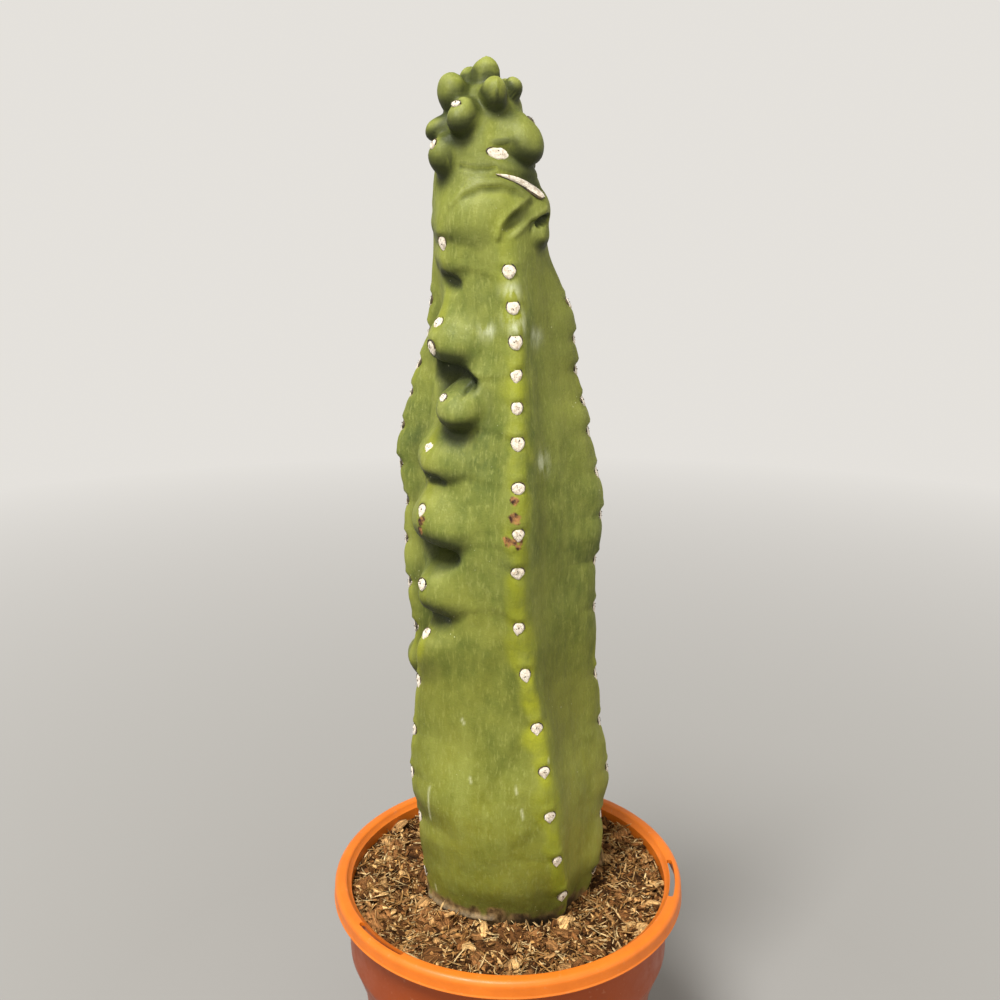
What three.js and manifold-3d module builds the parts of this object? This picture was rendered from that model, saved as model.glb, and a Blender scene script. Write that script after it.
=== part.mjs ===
// Potted totem pole cactus: one lumpy, ribbed stem rooted in bark and coir mix, in a round nursery pot.
// Millimetres, +Z up. The origin is on the axis of the pot, on the surface that it stands on.
// Azimuths are in degrees, counted from -Y (the front) towards +X (the right).
import * as THREE from 'three';
import { mergeVertices } from 'three/addons/utils/BufferGeometryUtils.js';
import Module from 'manifold-3d';

// Pot
const POT_HEIGHT = 135;
const RIM_RADIUS = 85;
const RIM_INNER_RADIUS = 78.5;
const RIM_ROUND = 1.6;
const SKIRT_HEIGHT = 8;
const SKIRT_THICKNESS = 1.5;
const FLANGE_THICKNESS = 2;
const LIP_HEIGHT = 1.2;
const LIP_PROUD = 0.4;
const WALL_THICKNESS = 1.5;
const COLLAR_RADIUS = 78.2;
const SHOULDER_TOP = 98;
const SHOULDER_BOTTOM = 80;
const SHOULDER_RADIUS = 72;
const FOOT_RADIUS = 64;
const FOOT_WIDTH = 4;
const FLOOR_RISE = 2.5;
const FLOOR_THICKNESS = 2;
const SLOT_CENTRES = [-46, 83, 199];
const SLOT_SPAN = 20;
const SLOT_RADIUS = 80.4;
const SLOT_WIDTH = 2.4;
const SLOT_STEPS = 6;
const DRAIN_RADIUS = 4;
const DRAIN_RING_RADIUS = 38;
const DRAIN_COUNT = 6;
const DRAIN_SIDES = 16;

// Potting mix
const FIT_GAP = 0.3;
const SOIL_LEVEL = 127;
const SOIL_RISE = 1.6;
const SOIL_RINGS = 12;
const CHIP_COUNT = 50;
const CHIP_SEED = 20;
const CHIP_THICKNESS = 2.6;
const CHIP_LENGTH = { least: 6, spread: 10 };
const CHIP_WIDTH = { least: 2.5, spread: 3.5 };
const CHIP_TIP = 0.7;
const CHIP_LIFT = 0.4;
const CHIP_CLEAR = 9;

// Stem: half width of the column and sideways lean of its axis, as [height, value] pairs
const COLUMN_RADIUS = [[88, 35], [127, 38.5], [150, 44], [190, 47], [245, 43.5], [275, 42.5], [318, 45],
  [345, 43], [372, 37.5], [398, 32.5], [430, 26], [460, 22], [500, 20]];
const COLUMN_LEAN = [[127, 0], [150, 1], [240, -1], [300, -3], [400, -4.5], [440, -8], [500, -10]];
const STUB_BOTTOM = 88;
const STUB_TAPER = 0.1;
const RIB_FADE = [395, 455];
const COLUMN_TOP = 462;
const COLUMN_CLOSING = 14;
const BLEND = 4.5;
const JOIN_SHARE = 0.5;
const CUT_SHARE = 0.35;

const SWELL_POWER = 0.8;

// Ribs, in order round the stem. reach is the crest's share of the column radius, sharp is how narrow the crest
// is, scallop is how far it swells between its areoles, and areoles are their heights from the top down
const RIBS = [
  {
    azimuth: [[127, 40], [143, 34], [165, 27], [190, 22], [231, 17], [256, 11.5], [280, 8.5], [350, 9.5],
      [425, 13]],
    reach: [[127, 1], [300, 1], [425, 1]],
    sharp: 2.1,
    scallop: 0.3,
    areoles: [424.5, 410.5, 397, 384, 371, 357, 339, 320, 303, 277.5, 256, 231, 211, 189, 165, 143],
  },
  {
    azimuth: [[127, 74], [145, 77], [170, 84], [200, 85], [240, 80], [330, 80], [410, 84]],
    reach: [[127, 1.02], [155, 1], [174, 0.965], [187, 1], [200, 0.985], [220, 0.96], [285, 0.965], [305, 0.99],
      [326, 1.005], [340, 0.96], [354, 0.92], [366, 0.93], [379, 0.89], [390, 0.94], [400, 1], [409, 1.03],
      [419, 1], [430, 0.94]],
    sharp: 1.5,
    scallop: 1.2,
    areoles: [410.5, 395, 382, 368.5, 355.5, 337.5, 318, 297, 275, 241.5, 217, 192, 168, 140],
  },
  {
    azimuth: [[127, 106], [138, 110], [155, 126], [200, 142], [240, 147], [430, 150]],
    reach: [[127, 1.36], [134, 1.27], [142, 1.12], [151, 1.02], [175, 0.99], [425, 0.98]],
    sharp: 1.6,
    scallop: 1.5,
    areoles: [418, 401, 385, 369, 352, 333, 313, 291, 268, 244, 219, 193, 170, 150],
  },
  {
    azimuth: [[127, 206], [240, 212], [430, 208]],
    reach: [[127, 1], [300, 0.98], [425, 0.98]],
    sharp: 1.6,
    scallop: 1.5,
    areoles: [421, 404, 388, 371, 353, 334, 312, 289, 265, 240, 214, 189, 166, 146],
  },
  {
    azimuth: [[127, 270], [240, 274], [300, 272], [340, 267], [430, 266]],
    reach: [[127, 0.9], [220, 0.86], [234, 0.9], [246, 1.02], [258, 0.985], [280, 1], [308, 0.95], [322, 0.965],
      [336, 1], [350, 1.04], [365, 1.055], [377, 1.04], [387, 0.98], [396, 0.95], [425, 0.97]],
    sharp: 1.4,
    scallop: 1,
    areoles: [411, 397.5, 384, 371, 356, 339.5, 322, 305, 285, 263],
  },
  {
    azimuth: [[127, 282], [172, 289], [218, 292], [243, 296], [268, 304], [300, 309], [350, 309], [400, 307],
      [435, 311]],
    reach: [[127, 1.02], [148, 0.97], [165, 0.98], [176, 0.965], [188, 1.01], [212, 1.035], [245, 1.01],
      [264, 1.04], [275, 0.86], [285, 0.98], [294, 0.98], [301, 0.82], [307, 0.66], [314, 0.92], [326, 0.98],
      [336, 0.88], [343, 0.95], [351, 0.94], [359, 0.82], [368, 0.76], [378, 0.62], [386, 0.66], [393, 0.98],
      [404, 0.97], [413, 0.88], [419, 0.78], [425, 0.88], [435, 0.92]],
    sharp: 1.1,
    scallop: 0.6,
    areoles: [435.5, 404, 393.5, 353, 326, 292, 268, 243.5, 218, 196.5, 172.5, 140],
  },
];

// Depth of the valley after each rib, as a share of the column radius
const VALLEYS = [
  [[127, 0.9], [200, 0.84], [300, 0.79], [400, 0.8]],
  [[127, 0.85], [200, 0.76], [400, 0.74]],
  [[127, 0.9], [200, 0.76], [400, 0.74]],
  [[127, 0.9], [240, 0.8], [300, 0.76], [400, 0.76]],
  [[127, 0.93], [240, 0.84], [300, 0.8], [400, 0.8]],
  [[127, 0.92], [200, 0.92], [245, 0.9], [300, 0.87], [400, 0.85]],
];

// Swellings, and hollows cut into them, in their order: place, half sizes across, out and up. tilt is how far
// the right end dips and pitch how far the outer end does, in degrees, for a form that faces the azimuth
const HEAD = { at: [-11, 0, 462], half: [20.5, 20, 36] };
const FORMS = [
  { at: [-9, 2, 489], half: [13, 12, 11] },
  { at: [-9.7, 0, 502.6], half: [6, 6, 6.2] },
  { at: [-16, 6, 500], half: [5.6, 6, 6.2] },
  { at: [-23.2, -5.5, 494], half: [6.6, 7.5, 9], tilt: -12 },
  { at: [-6.4, -12, 493], half: [5.3, 6.6, 7.2], azimuth: 10, pitch: 15 },
  { at: [1.2, -4.4, 495.8], half: [3.8, 4.6, 4.7] },
  { at: [-18.2, -15, 484.3], half: [5.8, 8.4, 6.8], azimuth: 328, pitch: 40 },
  { at: [-27.2, -5.5, 480.4], half: [5.2, 8, 5.4], azimuth: 280, pitch: 18 },
  { at: [-25.4, -12.4, 469.4], half: [6.2, 8.4, 8.2], azimuth: 306, pitch: 38 },
  { at: [4.2, -11.2, 476], half: [8.4, 12, 8.2], azimuth: 42, pitch: 42 },
  { at: [-2, 13, 496], half: [5, 5.4, 5] },
  { at: [-20, 13, 490], half: [5.6, 5.6, 5.6] },
  { at: [1, 14, 483], half: [5.4, 5.4, 5.2] },
  { at: [-10, 20, 478], half: [6.4, 5.6, 6] },
  { at: [6, 12, 468], half: [5.6, 6, 5.4] },
  { at: [-27, 12, 472], half: [5.6, 5.6, 5.2] },
  { at: [-1, 20, 461], half: [6.6, 5.4, 6] },
  { at: [-4, -9.6, 464.6], half: [15, 10.4, 5], azimuth: 12, tilt: 10 },
  { at: [-12, -10.6, 444.5], half: [19, 14, 16], tilt: -10 },
  { at: [9.5, -8, 447], half: [7.6, 8, 10] },
  { at: [10, -9, 438], half: [7, 8, 6] },
  { at: [-28.5, -4, 443.5], half: [4.6, 6, 5.2] },
  { at: [-26.6, -7, 430], half: [4.4, 5, 4.7] },
  { at: [-17, 16, 446], half: [10, 9, 8] },
  { at: [8, 15, 447], half: [8, 8, 7] },
  { at: [-17.6, -10.5, 430], half: [11, 11, 8.5], azimuth: 314, pitch: 14 },
  { at: [-20.2, -14, 396.2], half: [14.6, 14.2, 11.6], azimuth: 310, pitch: 14, tilt: 8 },
  { at: [-23.4, -17.5, 347.4], half: [18, 15, 10.8], azimuth: 310, pitch: 14, tilt: 4 },
  { at: [-24.6, -19, 320], half: [19, 17.4, 14], azimuth: 310, pitch: 14, tilt: 3 },
  { at: [-23.6, -17.2, 287], half: [16, 15.6, 12.4], azimuth: 308, pitch: 14 },
  { at: [-41.4, 3, 247], half: [6, 9, 8] },
  { at: [-31.5, -22.5, 417.6], half: [12, 12, 4.4], azimuth: 312, pitch: 16, tilt: 14, cut: true },
  { at: [-32.4, -27, 376.4], half: [18, 22, 8], azimuth: 311, pitch: 20, tilt: 14, cut: true },
  { at: [-39, -31.5, 335.6], half: [13, 12, 3], azimuth: 311, pitch: 18, tilt: 8, cut: true },
  { at: [-37.8, -29.3, 304], half: [15.5, 21, 5.8], azimuth: 310, pitch: 20, tilt: 10, cut: true },
  { at: [-38, -28, 274.4], half: [14, 12, 3.8], azimuth: 308, pitch: 18, tilt: 6, cut: true },
  { at: [8.6, -26.4, 449], half: [14, 8, 5.2], tilt: -38, cut: true },
  { at: [-4, -33, 456.5], half: [14, 10, 4.6], tilt: 4, cut: true },
  { at: [14.6, -14.5, 444.8], half: [5, 4.6, 1.8], tilt: -30, cut: true },
  { at: [-19.8, -25.4, 369.4], half: [10.4, 12.4, 9], azimuth: 336, pitch: 24, tilt: 6 },
];

// Areole pads: those of the head as azimuth, height, width and height of the pad, and roll. The long areole of
// the neck is a row of them, rolled to follow it
const HEAD_PADS = [
  { azimuth: 16, z: 470.2, width: 10.4, height: 5.8 },
  { azimuth: -38, z: 374.2, width: 4.4, height: 4.4, roll: -20 },
  { azimuth: -31, z: 488.8, width: 5, height: 3.4, roll: 12 },
  { azimuth: 66, z: 483, width: 4.6, height: 5 },
  { azimuth: -53, z: 474.2, width: 3, height: 4.6 },
  { azimuth: 200, z: 508, width: 2.8, height: 2.4 },
  { azimuth: 165, z: 497, width: 4, height: 3.4 },
  { azimuth: 205, z: 480, width: 4.4, height: 3.6 },
  { azimuth: 245, z: 474, width: 4, height: 3.4 },
  { azimuth: 120, z: 469, width: 4, height: 3.4 },
  { azimuth: 180, z: 462, width: 4.6, height: 3.8 },
  { azimuth: 18, z: 461.7, width: 9, height: 2.2, roll: -4 },
  { azimuth: 37, z: 459.5, width: 9.5, height: 3, roll: -12 },
  { azimuth: 58, z: 454.8, width: 10.5, height: 3.6, roll: -24 },
];
const PAD_WIDTH = 5.6;
const PAD_HEIGHT = 6.6;
const PAD_PROUD = 0.9;
const PAD_EDGE = 0.25;
const PAD_ROOT = 3;
const PAD_ROOT_SCALE = 0.7;
const PAD_OUTLINE = [[0.5, 0.1], [0.28, 0.45], [-0.28, 0.45], [-0.5, 0.1], [0, -0.55]];
const SLOPE_STEP = 0.8;

// Fineness of the surfaces. The stem is traced from outside along rays that start on its axis: level in the
// ground, looking down along the column, and fanned out at the top of the head
const SIDES = 60;
const STUB_ROWS = 2;
const COLUMN_ROWS = 43;
const NECK_ROWS = 15;
const FAN_ROWS = 12;
const LOOK_DOWN = -22;
const LEVEL_UNTIL = 170;
const NECK_START = 436;
const FAN_START = 478;
const FAN_CENTRE = 484;
const TRACE_START = 78;
const TRACE_STEPS = 70;
const TRACE_SHARE = 0.6;
const TRACE_CLOSE = 0.01;

const SLIVER = 0.1;
const DEGREES = Math.PI / 180;
const wasm = await Module();
wasm.setup();

// Smooth value at height z through [height, value] pairs: a cubic with its slopes taken from the neighbours
function along(pairs, z) {
  const last = pairs.length - 1;
  if (z <= pairs[0][0]) return pairs[0][1];
  if (z >= pairs[last][0]) return pairs[last][1];
  let i = 0;
  while (pairs[i + 1][0] < z) i += 1;
  const slope = (k) => {
    const low = pairs[Math.max(k - 1, 0)];
    const high = pairs[Math.min(k + 1, last)];
    return (high[1] - low[1]) / (high[0] - low[0]);
  };
  const span = pairs[i + 1][0] - pairs[i][0];
  const t = (z - pairs[i][0]) / span;
  const rise = t * t * (3 - 2 * t);
  const swing = span * (slope(i) * t * (1 - t) * (1 - t) - slope(i + 1) * t * t * (1 - t));
  return pairs[i][1] + (pairs[i + 1][1] - pairs[i][1]) * rise + swing;
}

const clamp = (value, low, high) => Math.min(Math.max(value, low), high);

function smoothstep(low, high, value) {
  const t = clamp((value - low) / (high - low), 0, 1);
  return t * t * (3 - 2 * t);
}

function smoothMin(a, b, blend) {
  const h = clamp(0.5 + 0.5 * (b - a) / blend, 0, 1);
  return b + (a - b) * h - blend * h * (1 - h);
}

// Seeded random numbers from 0 to 1
function randomFrom(seed) {
  let state = seed;
  return () => {
    state = (state + 0x6d2b79f5) | 0;
    let t = Math.imul(state ^ (state >>> 15), 1 | state);
    t = (t + Math.imul(t ^ (t >>> 7), 61 | t)) ^ t;
    return ((t ^ (t >>> 14)) >>> 0) / 4294967296;
  };
}

// How far a rib swells at height z: nothing at an areole, most just below it
function swelling(rib, z) {
  const heights = rib.areoles;
  for (let i = 0; i + 1 < heights.length; i += 1) {
    if (z <= heights[i] && z > heights[i + 1]) {
      const t = (heights[i] - z) / (heights[i] - heights[i + 1]);
      return rib.scallop * Math.sin(Math.PI * t ** SWELL_POWER);
    }
  }
  return 0;
}

// The sector between two crests that an azimuth lies in, and the share of the way across it
function ribSector(azimuth, z) {
  const crests = RIBS.map((rib) => along(rib.azimuth, z));
  for (let k = 0; k < RIBS.length; k += 1) {
    const width = (crests[(k + 1) % RIBS.length] - crests[k] + 360) % 360;
    const turn = ((azimuth - crests[k]) % 360 + 360) % 360;
    if (turn <= width) return { k, share: turn / width };
  }
  return { k: 0, share: 0 };
}

// Radius of the ribbed column at an azimuth and a height: crests and valleys joined by raised cosines
function columnRadius(azimuth, height) {
  const z = Math.max(height, SOIL_LEVEL);
  const radius = along(COLUMN_RADIUS, z);
  const fade = 1 - smoothstep(RIB_FADE[0], RIB_FADE[1], z);
  const { k, share } = ribSector(azimuth, z);
  const near = share < 0.5 ? RIBS[k] : RIBS[(k + 1) % RIBS.length];
  const crest = radius * along(near.reach, z) + swelling(near, z);
  const valley = radius * along(VALLEYS[k], z);
  const raised = (0.5 + 0.5 * Math.cos(2 * Math.PI * share)) ** near.sharp;
  const ribbed = valley + (crest - valley) * raised;
  const stub = 1 - STUB_TAPER * clamp((SOIL_LEVEL - height) / (SOIL_LEVEL - STUB_BOTTOM), 0, 1);
  return (radius + (ribbed - radius) * fade) * stub;
}

// Two coordinates after a turn of their axes, the first axis towards minus the second
function turned(first, second, degrees) {
  const c = Math.cos(degrees * DEGREES);
  const s = Math.sin(degrees * DEGREES);
  return [first * c - second * s, first * s + second * c];
}

// About the distance to an ellipsoid, from its axes across, out and up
function ellipsoid({ at, half, azimuth = 0, pitch = 0, tilt = 0 }, x, y, z) {
  let [out, across] = turned(at[1] - y, x - at[0], -azimuth);
  let up = z - at[2];
  [out, up] = turned(out, up, pitch);
  [across, up] = turned(across, up, tilt);
  const local = [across / half[0], out / half[1], up / half[2]];
  const k0 = Math.hypot(...local);
  const k1 = Math.hypot(...local.map((value, i) => value / half[i]));
  return k0 * (k0 - 1) / Math.max(k1, 1e-6);
}

// The whole stem as a field: negative inside, zero on the skin, positive outside
function stemField(x, y, z) {
  const dx = x - along(COLUMN_LEAN, z);
  const azimuth = Math.atan2(dx, -y) / DEGREES;
  const side = Math.hypot(dx, y) - columnRadius(azimuth, z);
  let field = -smoothMin(-side, COLUMN_TOP - z, COLUMN_CLOSING);
  field = smoothMin(field, ellipsoid(HEAD, x, y, z), BLEND * 2);
  for (const form of FORMS) {
    const blend = Math.min(BLEND, (form.cut ? CUT_SHARE : JOIN_SHARE) * Math.min(...form.half));
    const near = Math.abs(z - form.at[2]) < Math.max(...form.half) + 2 * blend;
    const sign = form.cut ? -1 : 1;
    if (near) field = sign * smoothMin(sign * field, ellipsoid(form, x, y, z), blend);
  }
  return field;
}

// Outermost point of the skin on the ray from origin, found by stepping in from outside
function skinPoint(origin, direction) {
  let reach = TRACE_START;
  const point = new THREE.Vector3();
  for (let i = 0; i < TRACE_STEPS; i += 1) {
    point.copy(direction).multiplyScalar(reach).add(origin);
    const field = stemField(point.x, point.y, point.z);
    reach -= field * TRACE_SHARE;
    if (Math.abs(field) < TRACE_CLOSE) break;
  }
  return point;
}

// Height of the origin and elevation of the rays of every row, from the stub up to the top of the head
function stemRays() {
  const rays = [];
  const add = (count, low, high, elevation) => {
    for (let i = 0; i < count; i += 1) {
      const height = low + (high - low) * i / count;
      rays.push({ height, elevation: elevation(height) });
    }
  };
  const down = (height) => LOOK_DOWN * smoothstep(SOIL_LEVEL, LEVEL_UNTIL, height);
  const fan = (height) => LOOK_DOWN + (90 - LOOK_DOWN) * (height - FAN_START) / (FAN_CENTRE - FAN_START);
  add(STUB_ROWS, STUB_BOTTOM, SOIL_LEVEL, down);
  add(COLUMN_ROWS, SOIL_LEVEL, NECK_START, down);
  add(NECK_ROWS, NECK_START, FAN_START, down);
  add(FAN_ROWS, FAN_START, FAN_CENTRE, fan);
  return rays;
}

// Closed mesh from rows of points that all have the same count, with a fan at each end
function closedRows(rows, firstCentre, lastCentre) {
  const count = rows[0].length;
  const points = [firstCentre, ...rows.flat(), lastCentre];
  const index = [];
  const at = (row, side) => 1 + row * count + side % count;
  for (let side = 0; side < count; side += 1) {
    index.push(0, at(0, side + 1), at(0, side));
    index.push(points.length - 1, at(rows.length - 1, side), at(rows.length - 1, side + 1));
    for (let row = 0; row + 1 < rows.length; row += 1) {
      index.push(at(row, side), at(row, side + 1), at(row + 1, side));
      index.push(at(row, side + 1), at(row + 1, side + 1), at(row + 1, side));
    }
  }
  const geometry = new THREE.BufferGeometry().setFromPoints(points);
  geometry.setIndex(index);
  return geometry;
}

// One value of make for each azimuth, given as an angle in radians
function aroundAzimuths(make) {
  return Array.from({ length: SIDES }, (_, side) => make(2 * Math.PI * side / SIDES));
}

function solidOf(geometry) {
  const bare = geometry.clone();
  bare.deleteAttribute('normal');
  bare.deleteAttribute('uv');
  const merged = mergeVertices(bare, 1e-4);
  return new wasm.Manifold(new wasm.Mesh({
    numProp: 3,
    vertProperties: new Float32Array(merged.attributes.position.array),
    triVerts: new Uint32Array(merged.index.array),
  }));
}

// Joined skin as one surface, with the slivers that joining leaves cleared away
function geometryOf(solid) {
  const mesh = solid.asOriginal().simplify(SLIVER).getMesh();
  const geometry = new THREE.BufferGeometry();
  geometry.setAttribute('position', new THREE.BufferAttribute(new Float32Array(mesh.vertProperties), 3));
  geometry.setIndex(new THREE.BufferAttribute(new Uint32Array(mesh.triVerts), 1));
  return geometry;
}

// Point of the skin at an azimuth and a height, and the direction that faces out of it
function skinFrame(azimuth, z) {
  const angle = azimuth * DEGREES;
  const outward = new THREE.Vector3(Math.sin(angle), -Math.cos(angle), 0);
  const point = skinPoint(new THREE.Vector3(along(COLUMN_LEAN, z), 0, z), outward);
  const slope = (dx, dy, dz) => stemField(point.x + dx, point.y + dy, point.z + dz)
    - stemField(point.x - dx, point.y - dy, point.z - dz);
  const normal = new THREE.Vector3(slope(SLOPE_STEP, 0, 0), slope(0, SLOPE_STEP, 0), slope(0, 0, SLOPE_STEP));
  return { point, normal: normal.normalize() };
}

// Woolly areole pad: a low cushion with a round top edge and a pointed foot, sunk into the skin
function pad({ azimuth, z, width = PAD_WIDTH, height = PAD_HEIGHT, roll = 0 }) {
  const { point, normal } = skinFrame(azimuth, z);
  const across = new THREE.Vector3(0, 0, 1).cross(normal).normalize();
  const up = normal.clone().cross(across);
  const ring = (scale, lift) => PAD_OUTLINE.map(([u, v]) => {
    const [x, y] = turned(u * width * scale, v * height * scale, roll);
    return point.clone().addScaledVector(across, x).addScaledVector(up, y).addScaledVector(normal, lift);
  });
  const rows = [ring(PAD_ROOT_SCALE, -PAD_ROOT), ring(1, PAD_EDGE * PAD_PROUD)];
  const centre = (lift) => point.clone().addScaledVector(normal, lift);
  return solidOf(closedRows(rows, centre(-PAD_ROOT), centre(PAD_PROUD)));
}

function cactusStem() {
  const rows = stemRays().map(({ height, elevation }) => {
    const origin = new THREE.Vector3(along(COLUMN_LEAN, height), 0, height);
    const flat = Math.cos(elevation * DEGREES);
    const rise = Math.sin(elevation * DEGREES);
    return aroundAzimuths((angle) => skinPoint(origin,
      new THREE.Vector3(Math.sin(angle) * flat, -Math.cos(angle) * flat, rise)));
  });
  const apex = new THREE.Vector3(along(COLUMN_LEAN, FAN_CENTRE), 0, FAN_CENTRE);
  const foot = new THREE.Vector3(0, 0, STUB_BOTTOM);
  let stem = solidOf(closedRows(rows, foot, skinPoint(apex, new THREE.Vector3(0, 0, 1))));
  for (const rib of RIBS) {
    for (const z of rib.areoles) stem = stem.add(pad({ azimuth: along(rib.azimuth, z), z }));
  }
  for (const spot of HEAD_PADS) stem = stem.add(pad(spot));
  return geometryOf(stem);
}

// Inner radius of the pot's wall at a height
function potBore(z) {
  const inset = WALL_THICKNESS;
  if (z > SHOULDER_TOP) return COLLAR_RADIUS - inset;
  if (z > SHOULDER_BOTTOM) {
    const t = (z - SHOULDER_BOTTOM) / (SHOULDER_TOP - SHOULDER_BOTTOM);
    return SHOULDER_RADIUS - inset + (COLLAR_RADIUS - SHOULDER_RADIUS) * t;
  }
  return FOOT_RADIUS - inset + (SHOULDER_RADIUS - FOOT_RADIUS) * z / SHOULDER_BOTTOM;
}

// Pot turned from one profile, from the axis under the floor, round the outside and back to the axis inside
function potBody() {
  const skirtBottom = POT_HEIGHT - SKIRT_HEIGHT;
  const skirtInner = RIM_RADIUS - SKIRT_THICKNESS;
  const flangeUnder = POT_HEIGHT - FLANGE_THICKNESS;
  const floorTop = FLOOR_RISE + FLOOR_THICKNESS;
  const profile = [
    [0, FLOOR_RISE],
    [FOOT_RADIUS - FOOT_WIDTH, FLOOR_RISE],
    [FOOT_RADIUS - FOOT_WIDTH, 0],
    [FOOT_RADIUS, 0],
    [SHOULDER_RADIUS, SHOULDER_BOTTOM],
    [COLLAR_RADIUS, SHOULDER_TOP],
    [COLLAR_RADIUS, flangeUnder],
    [skirtInner - 0.4, flangeUnder],
    [skirtInner - 0.4, skirtBottom],
    [RIM_RADIUS, skirtBottom],
    [RIM_RADIUS, skirtBottom + LIP_HEIGHT],
    [RIM_RADIUS - LIP_PROUD, skirtBottom + LIP_HEIGHT + LIP_PROUD],
    [RIM_RADIUS - LIP_PROUD, POT_HEIGHT - RIM_ROUND],
    [RIM_RADIUS - LIP_PROUD - 0.3 * RIM_ROUND, POT_HEIGHT - 0.3 * RIM_ROUND],
    [RIM_RADIUS - LIP_PROUD - RIM_ROUND, POT_HEIGHT],
    [RIM_INNER_RADIUS + RIM_ROUND, POT_HEIGHT],
    [RIM_INNER_RADIUS + 0.3 * RIM_ROUND, POT_HEIGHT - 0.3 * RIM_ROUND],
    [potBore(POT_HEIGHT), POT_HEIGHT - 1.6 * RIM_ROUND],
    [potBore(SHOULDER_TOP + 0.1), SHOULDER_TOP],
    [potBore(SHOULDER_BOTTOM), SHOULDER_BOTTOM],
    [potBore(floorTop), floorTop],
    [0, floorTop],
  ];
  const points = profile.map(([r, z]) => new THREE.Vector2(r, z));
  return new THREE.LatheGeometry(points, SIDES).rotateX(Math.PI / 2);
}

// Slot that a hanger clips into: a curved oblong through the flange
function slotCutter(azimuth) {
  const half = SLOT_WIDTH / 2;
  const middle = (azimuth - 90) * DEGREES;
  const low = middle - SLOT_SPAN / 2 * DEGREES;
  const high = middle + SLOT_SPAN / 2 * DEGREES;
  const shape = new THREE.Shape();
  const end = (angle) => [Math.cos(angle) * SLOT_RADIUS, Math.sin(angle) * SLOT_RADIUS];
  shape.absarc(0, 0, SLOT_RADIUS + half, low, high, false);
  shape.absarc(...end(high), half, high, high + Math.PI, false);
  shape.absarc(0, 0, SLOT_RADIUS - half, high, low, true);
  shape.absarc(...end(low), half, low + Math.PI, low + 2 * Math.PI, false);
  const depth = 3 * FLANGE_THICKNESS;
  return new THREE.ExtrudeGeometry(shape, { depth, bevelEnabled: false, curveSegments: SLOT_STEPS })
    .translate(0, 0, POT_HEIGHT - 2 * FLANGE_THICKNESS);
}

function nurseryPot() {
  let pot = solidOf(potBody());
  for (const azimuth of SLOT_CENTRES) pot = pot.subtract(solidOf(slotCutter(azimuth)));
  for (let i = 0; i < DRAIN_COUNT; i += 1) {
    const angle = 2 * Math.PI * (i + 0.5) / DRAIN_COUNT;
    const drain = new THREE.CylinderGeometry(DRAIN_RADIUS, DRAIN_RADIUS, 4 * FLOOR_THICKNESS, DRAIN_SIDES)
      .rotateX(Math.PI / 2)
      .translate(DRAIN_RING_RADIUS * Math.cos(angle), DRAIN_RING_RADIUS * Math.sin(angle), FLOOR_RISE);
    pot = pot.subtract(solidOf(drain));
  }
  return geometryOf(pot);
}

// Height of the mix: humps from crossed waves, flat where it meets the stem and the pot
function soilHeight(x, y, share) {
  const humps = Math.sin(x / 5.2 + 1.3 * Math.sin(y / 9)) * Math.cos(y / 4.6 + Math.sin(x / 7.5));
  const edges = smoothstep(0, 0.12, share) * smoothstep(1, 0.86, share);
  return SOIL_LEVEL + SOIL_RISE * edges * (0.55 + humps + 0.4 * Math.sin((x - y) / 2.9));
}

// Chip of bark or fibre clump: a flattened block, turned and tipped, sunk half into the mix
function soilChip(random, x, y, z) {
  const length = CHIP_LENGTH.least + CHIP_LENGTH.spread * random() ** 2;
  const width = CHIP_WIDTH.least + CHIP_WIDTH.spread * random();
  const chip = new THREE.BoxGeometry(length, width, CHIP_THICKNESS)
    .rotateY((random() - 0.5) * CHIP_TIP)
    .rotateX((random() - 0.5) * CHIP_TIP)
    .rotateZ(random() * Math.PI)
    .translate(x, y, z + CHIP_LIFT);
  return solidOf(chip);
}

function pottingMix() {
  const holeFloor = STUB_BOTTOM - FIT_GAP;
  const hole = (z) => aroundAzimuths((angle) => {
    const radius = columnRadius(angle / DEGREES, z) + FIT_GAP;
    return new THREE.Vector3(Math.sin(angle) * radius, -Math.cos(angle) * radius, z);
  });
  const surface = (share) => aroundAzimuths((angle) => {
    const inner = columnRadius(angle / DEGREES, SOIL_LEVEL) + FIT_GAP;
    const outer = potBore(SOIL_LEVEL) - FIT_GAP;
    const radius = inner + (outer - inner) * share;
    const x = Math.sin(angle) * radius;
    const y = -Math.cos(angle) * radius;
    return new THREE.Vector3(x, y, soilHeight(x, y, share));
  });
  const side = (z) => aroundAzimuths((angle) => {
    const radius = potBore(z) - FIT_GAP;
    return new THREE.Vector3(Math.sin(angle) * radius, -Math.cos(angle) * radius, z);
  });
  const bottom = FLOOR_RISE + FLOOR_THICKNESS + FIT_GAP;
  const rows = [hole(holeFloor)];
  for (let i = 0; i <= SOIL_RINGS; i += 1) rows.push(surface(i / SOIL_RINGS));
  rows.push(side(SHOULDER_TOP), side(SHOULDER_BOTTOM), side(bottom));
  rows.reverse();
  const centre = (z) => new THREE.Vector3(0, 0, z);
  let mix = solidOf(closedRows(rows, centre(bottom), centre(holeFloor)));
  const random = randomFrom(CHIP_SEED);
  for (let i = 0; i < CHIP_COUNT; i += 1) {
    const angle = 2 * Math.PI * random();
    const inner = columnRadius(angle / DEGREES, SOIL_LEVEL + CHIP_CLEAR) + CHIP_CLEAR;
    const outer = potBore(SOIL_LEVEL) - CHIP_CLEAR;
    const radius = inner + (outer - inner) * random();
    const x = Math.sin(angle) * radius;
    const y = -Math.cos(angle) * radius;
    mix = mix.add(soilChip(random, x, y, soilHeight(x, y, 0.5)));
  }
  return geometryOf(mix);
}

function named(name, geometry, color, roughness) {
  const mesh = new THREE.Mesh(geometry, new THREE.MeshStandardMaterial({ color, roughness, metalness: 0 }));
  mesh.name = name;
  return mesh;
}

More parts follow.
